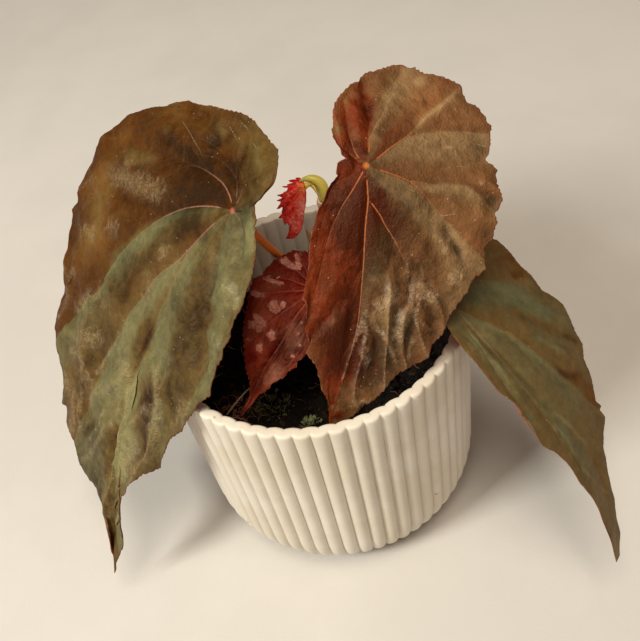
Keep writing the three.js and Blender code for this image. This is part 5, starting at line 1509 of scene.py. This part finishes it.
crimson_finish = leaf_finish(
    "crimson_leaf", 0.6, 0.6, Cool=(0.98, 0.24, 0.22), Body=(0.95, 0.06, 0.05), Warm=(0.86, 0.02, 0.018),
    Margin=(0.50, 0.016, 0.022), Vein=(0.95, 0.26, 0.08), Far_Vein=(0.92, 0.18, 0.09),
    Knot=(0.95, 0.28, 0.06), Rib=(0.80, 0.18, 0.06), Underside=(0.48, 0.03, 0.03), Dust=(0.85, 0.40, 0.38),
    Vein_Width=0.2, Side_Vein_Share=0.15, Knot_Size=1.2, Margin_Width=0.7, Dust_Share=0.5, Dust_Edge=0.3,
    Speck_Share=0.12, Pebble=0.3, Mottle=0.8, Crumple=0.5, Shine=0.5, Dust_Grain=0.5)
make_piece("young_leaf", blade_shape(young_blade, young_look), crimson_finish, "blade_crimson", "leaf_young")
make_stalk(
    "young_stalk", young_blade, [(11.4, 10.4, 114.5), (11.2, 15, 116)],
    0.8, 16, 50, green_stalk_finish, "stipule_green", "stalk_young")

# Two stipules: leaf-like scales at the stalks' roots. The one at the tip is a fleshy lime-green hook
# that still sheathes the bud, and the lower one has dried to a papery straw-coloured tongue.
STIPULE_SIDES = 28
STIPULE_STEPS = 60


def stipule_shape(root, along, curl, length, width, thickness, bend):
    """A stipule: a tapering flat shoot that bends over along an arc, with a keel down its back."""
    along, curl = Vector(along).normalized(), Vector(curl)
    curl = (curl - along * curl.dot(along)).normalized()
    side = along.cross(curl)
    turn = math.radians(bend)
    arc_radius = length / turn

    def surface(spin, share):
        swell = math.sin(math.pi * min(1, share * 0.94 + 0.06)) ** 0.6 * (1 - 0.55 * share)
        keel = 1 + 0.16 * math.exp(-(math.sin(spin / 2) / 0.16) ** 2)
        seam = 1 - 0.12 * math.exp(-(math.cos(spin / 2) / 0.12) ** 2)
        radius = arc_radius - math.cos(spin) * swell * thickness / 2 * keel * seam
        ahead = along * radius * math.sin(turn * share)
        inwards = curl * (arc_radius - radius * math.cos(turn * share))
        return Vector(root) + ahead + inwards + side * math.sin(spin) * swell * width / 2

    shape = bmesh.new()
    wrap_grid(shape, STIPULE_SIDES, STIPULE_STEPS, surface)
    return shape


lime_finish = shoot_finish("lime_stipule", (0.78, 0.68, 0.10), (0.66, 0.62, 0.08), (0.92, 0.84, 0.38), 0.38)
tip_stipule = stipule_shape([10.9, 9, 119], [0.6, 0.1, 0.6], [-0.5, 0.3, 0.75], 12.5, 5, 4.4, 165)
make_piece("tip_stipule", tip_stipule, lime_finish, "stipule_green", "stipule_tip")
paper_finish = shoot_finish("paper_stipule", (0.70, 0.50, 0.24), (0.86, 0.70, 0.38), (0.90, 0.76, 0.50), 0.6)
dry_stipule = stipule_shape([7.8, 16.6, 92.5], [-0.28, 0.1, 1], [0, -1, 0], 12, 3.8, 0.9, 20)
make_piece("dry_stipule", dry_stipule, paper_finish, "stipule_dry", "stipule_dry")

# The soft hairs that were grown on the stem and the stalks, as one piece: thin, pale and mottled a little
# red, so that a shoot seems to have a light edge.
hair_finish, place = new_material("soft_hairs", Specular_IOR_Level=0.4)
tones = mottled(place, 150.0, (0.62, 0.36, 0.24), (0.45, 0.16, 0.08))
roughness = ease(tones.beside("Mask"), 0.0, 1.0, 0.45, 0.6)
dress(hair_finish, tones, roughness, noise_value(place, 3000.0, 2.0), 0.2)
make_piece("stalk_hairs", hairs, hair_finish, "stalk")

# The studio: a wide pale floor under a soft window light from the left and front, with a pale room
# around it. The camera looks down at the plant from the front, as in the photograph.
FLOOR_REACH = 4.0
CAMERA_PLACE = (0.00238, -0.1878, 0.2777)
CAMERA_TILT = 43.3
CAMERA_ROLL = -13.3
SENSOR_WIDTH = 36
PICTURE_WIDTH = 641
FOCAL_PIXELS = 850

floor_shape = bmesh.new()
bmesh.ops.create_circle(floor_shape, cap_ends=True, segments=96, radius=FLOOR_REACH)
floor_mesh = bpy.data.meshes.new("floor")
floor_shape.to_mesh(floor_mesh)
floor_shape.free()
floor = bpy.data.objects.new("floor", floor_mesh)
bpy.context.scene.collection.objects.link(floor)
floor_finish, place = new_material("pale_floor", Specular_IOR_Level=0.2)
paper = mottled(place, 6.0, (0.66, 0.645, 0.62), (0.62, 0.605, 0.58))
roughness = ease(paper.beside("Mask"), 0.0, 1.0, 0.8, 0.9)
dress(floor_finish, paper, roughness, noise_value(place, 800.0, 2.0), 0.05)
floor_mesh.materials.append(floor_finish)


def add_lamp(name, place, target, size, power, colour):
    """A soft square lamp that faces a place on the plant."""
    lamp = bpy.data.lights.new(name, "AREA")
    lamp.size = size
    lamp.energy = power
    lamp.color = colour
    holder = bpy.data.objects.new(name, lamp)
    holder.location = place
    holder.rotation_euler = (Vector(target) - Vector(place)).to_track_quat("-Z", "Y").to_euler()
    bpy.context.scene.collection.objects.link(holder)


add_lamp("window", (-0.85, -0.39, 0.85), (0, 0, 0.06), 0.3, 12.5, (1.0, 0.98, 0.88))
add_lamp("room_light", (0.0, -0.32, 1.3), (0, 0, 0.08), 0.6, 9.8, (1.0, 0.86, 0.70))

room = bpy.data.worlds.new("room")
room.use_nodes = True
feed(room.node_tree.nodes["Background"].inputs["Color"], (1.0, 0.80, 0.62))
feed(room.node_tree.nodes["Background"].inputs["Strength"], 0.2)
bpy.context.scene.world = room

camera = bpy.data.cameras.new("viewer")
camera.lens = FOCAL_PIXELS / PICTURE_WIDTH * SENSOR_WIDTH
camera.sensor_width = SENSOR_WIDTH
camera.clip_start = 0.01
camera_holder = bpy.data.objects.new("viewer", camera)
tilted = Matrix.Rotation(math.radians(CAMERA_TILT), 4, "X")
rolled = Matrix.Rotation(math.radians(CAMERA_ROLL), 4, "Z")
camera_holder.matrix_world = Matrix.Translation(CAMERA_PLACE) @ (tilted @ rolled)
bpy.context.scene.collection.objects.link(camera_holder)
bpy.context.scene.camera = camera_holder
bpy.context.scene.view_settings.view_transform = "Standard"
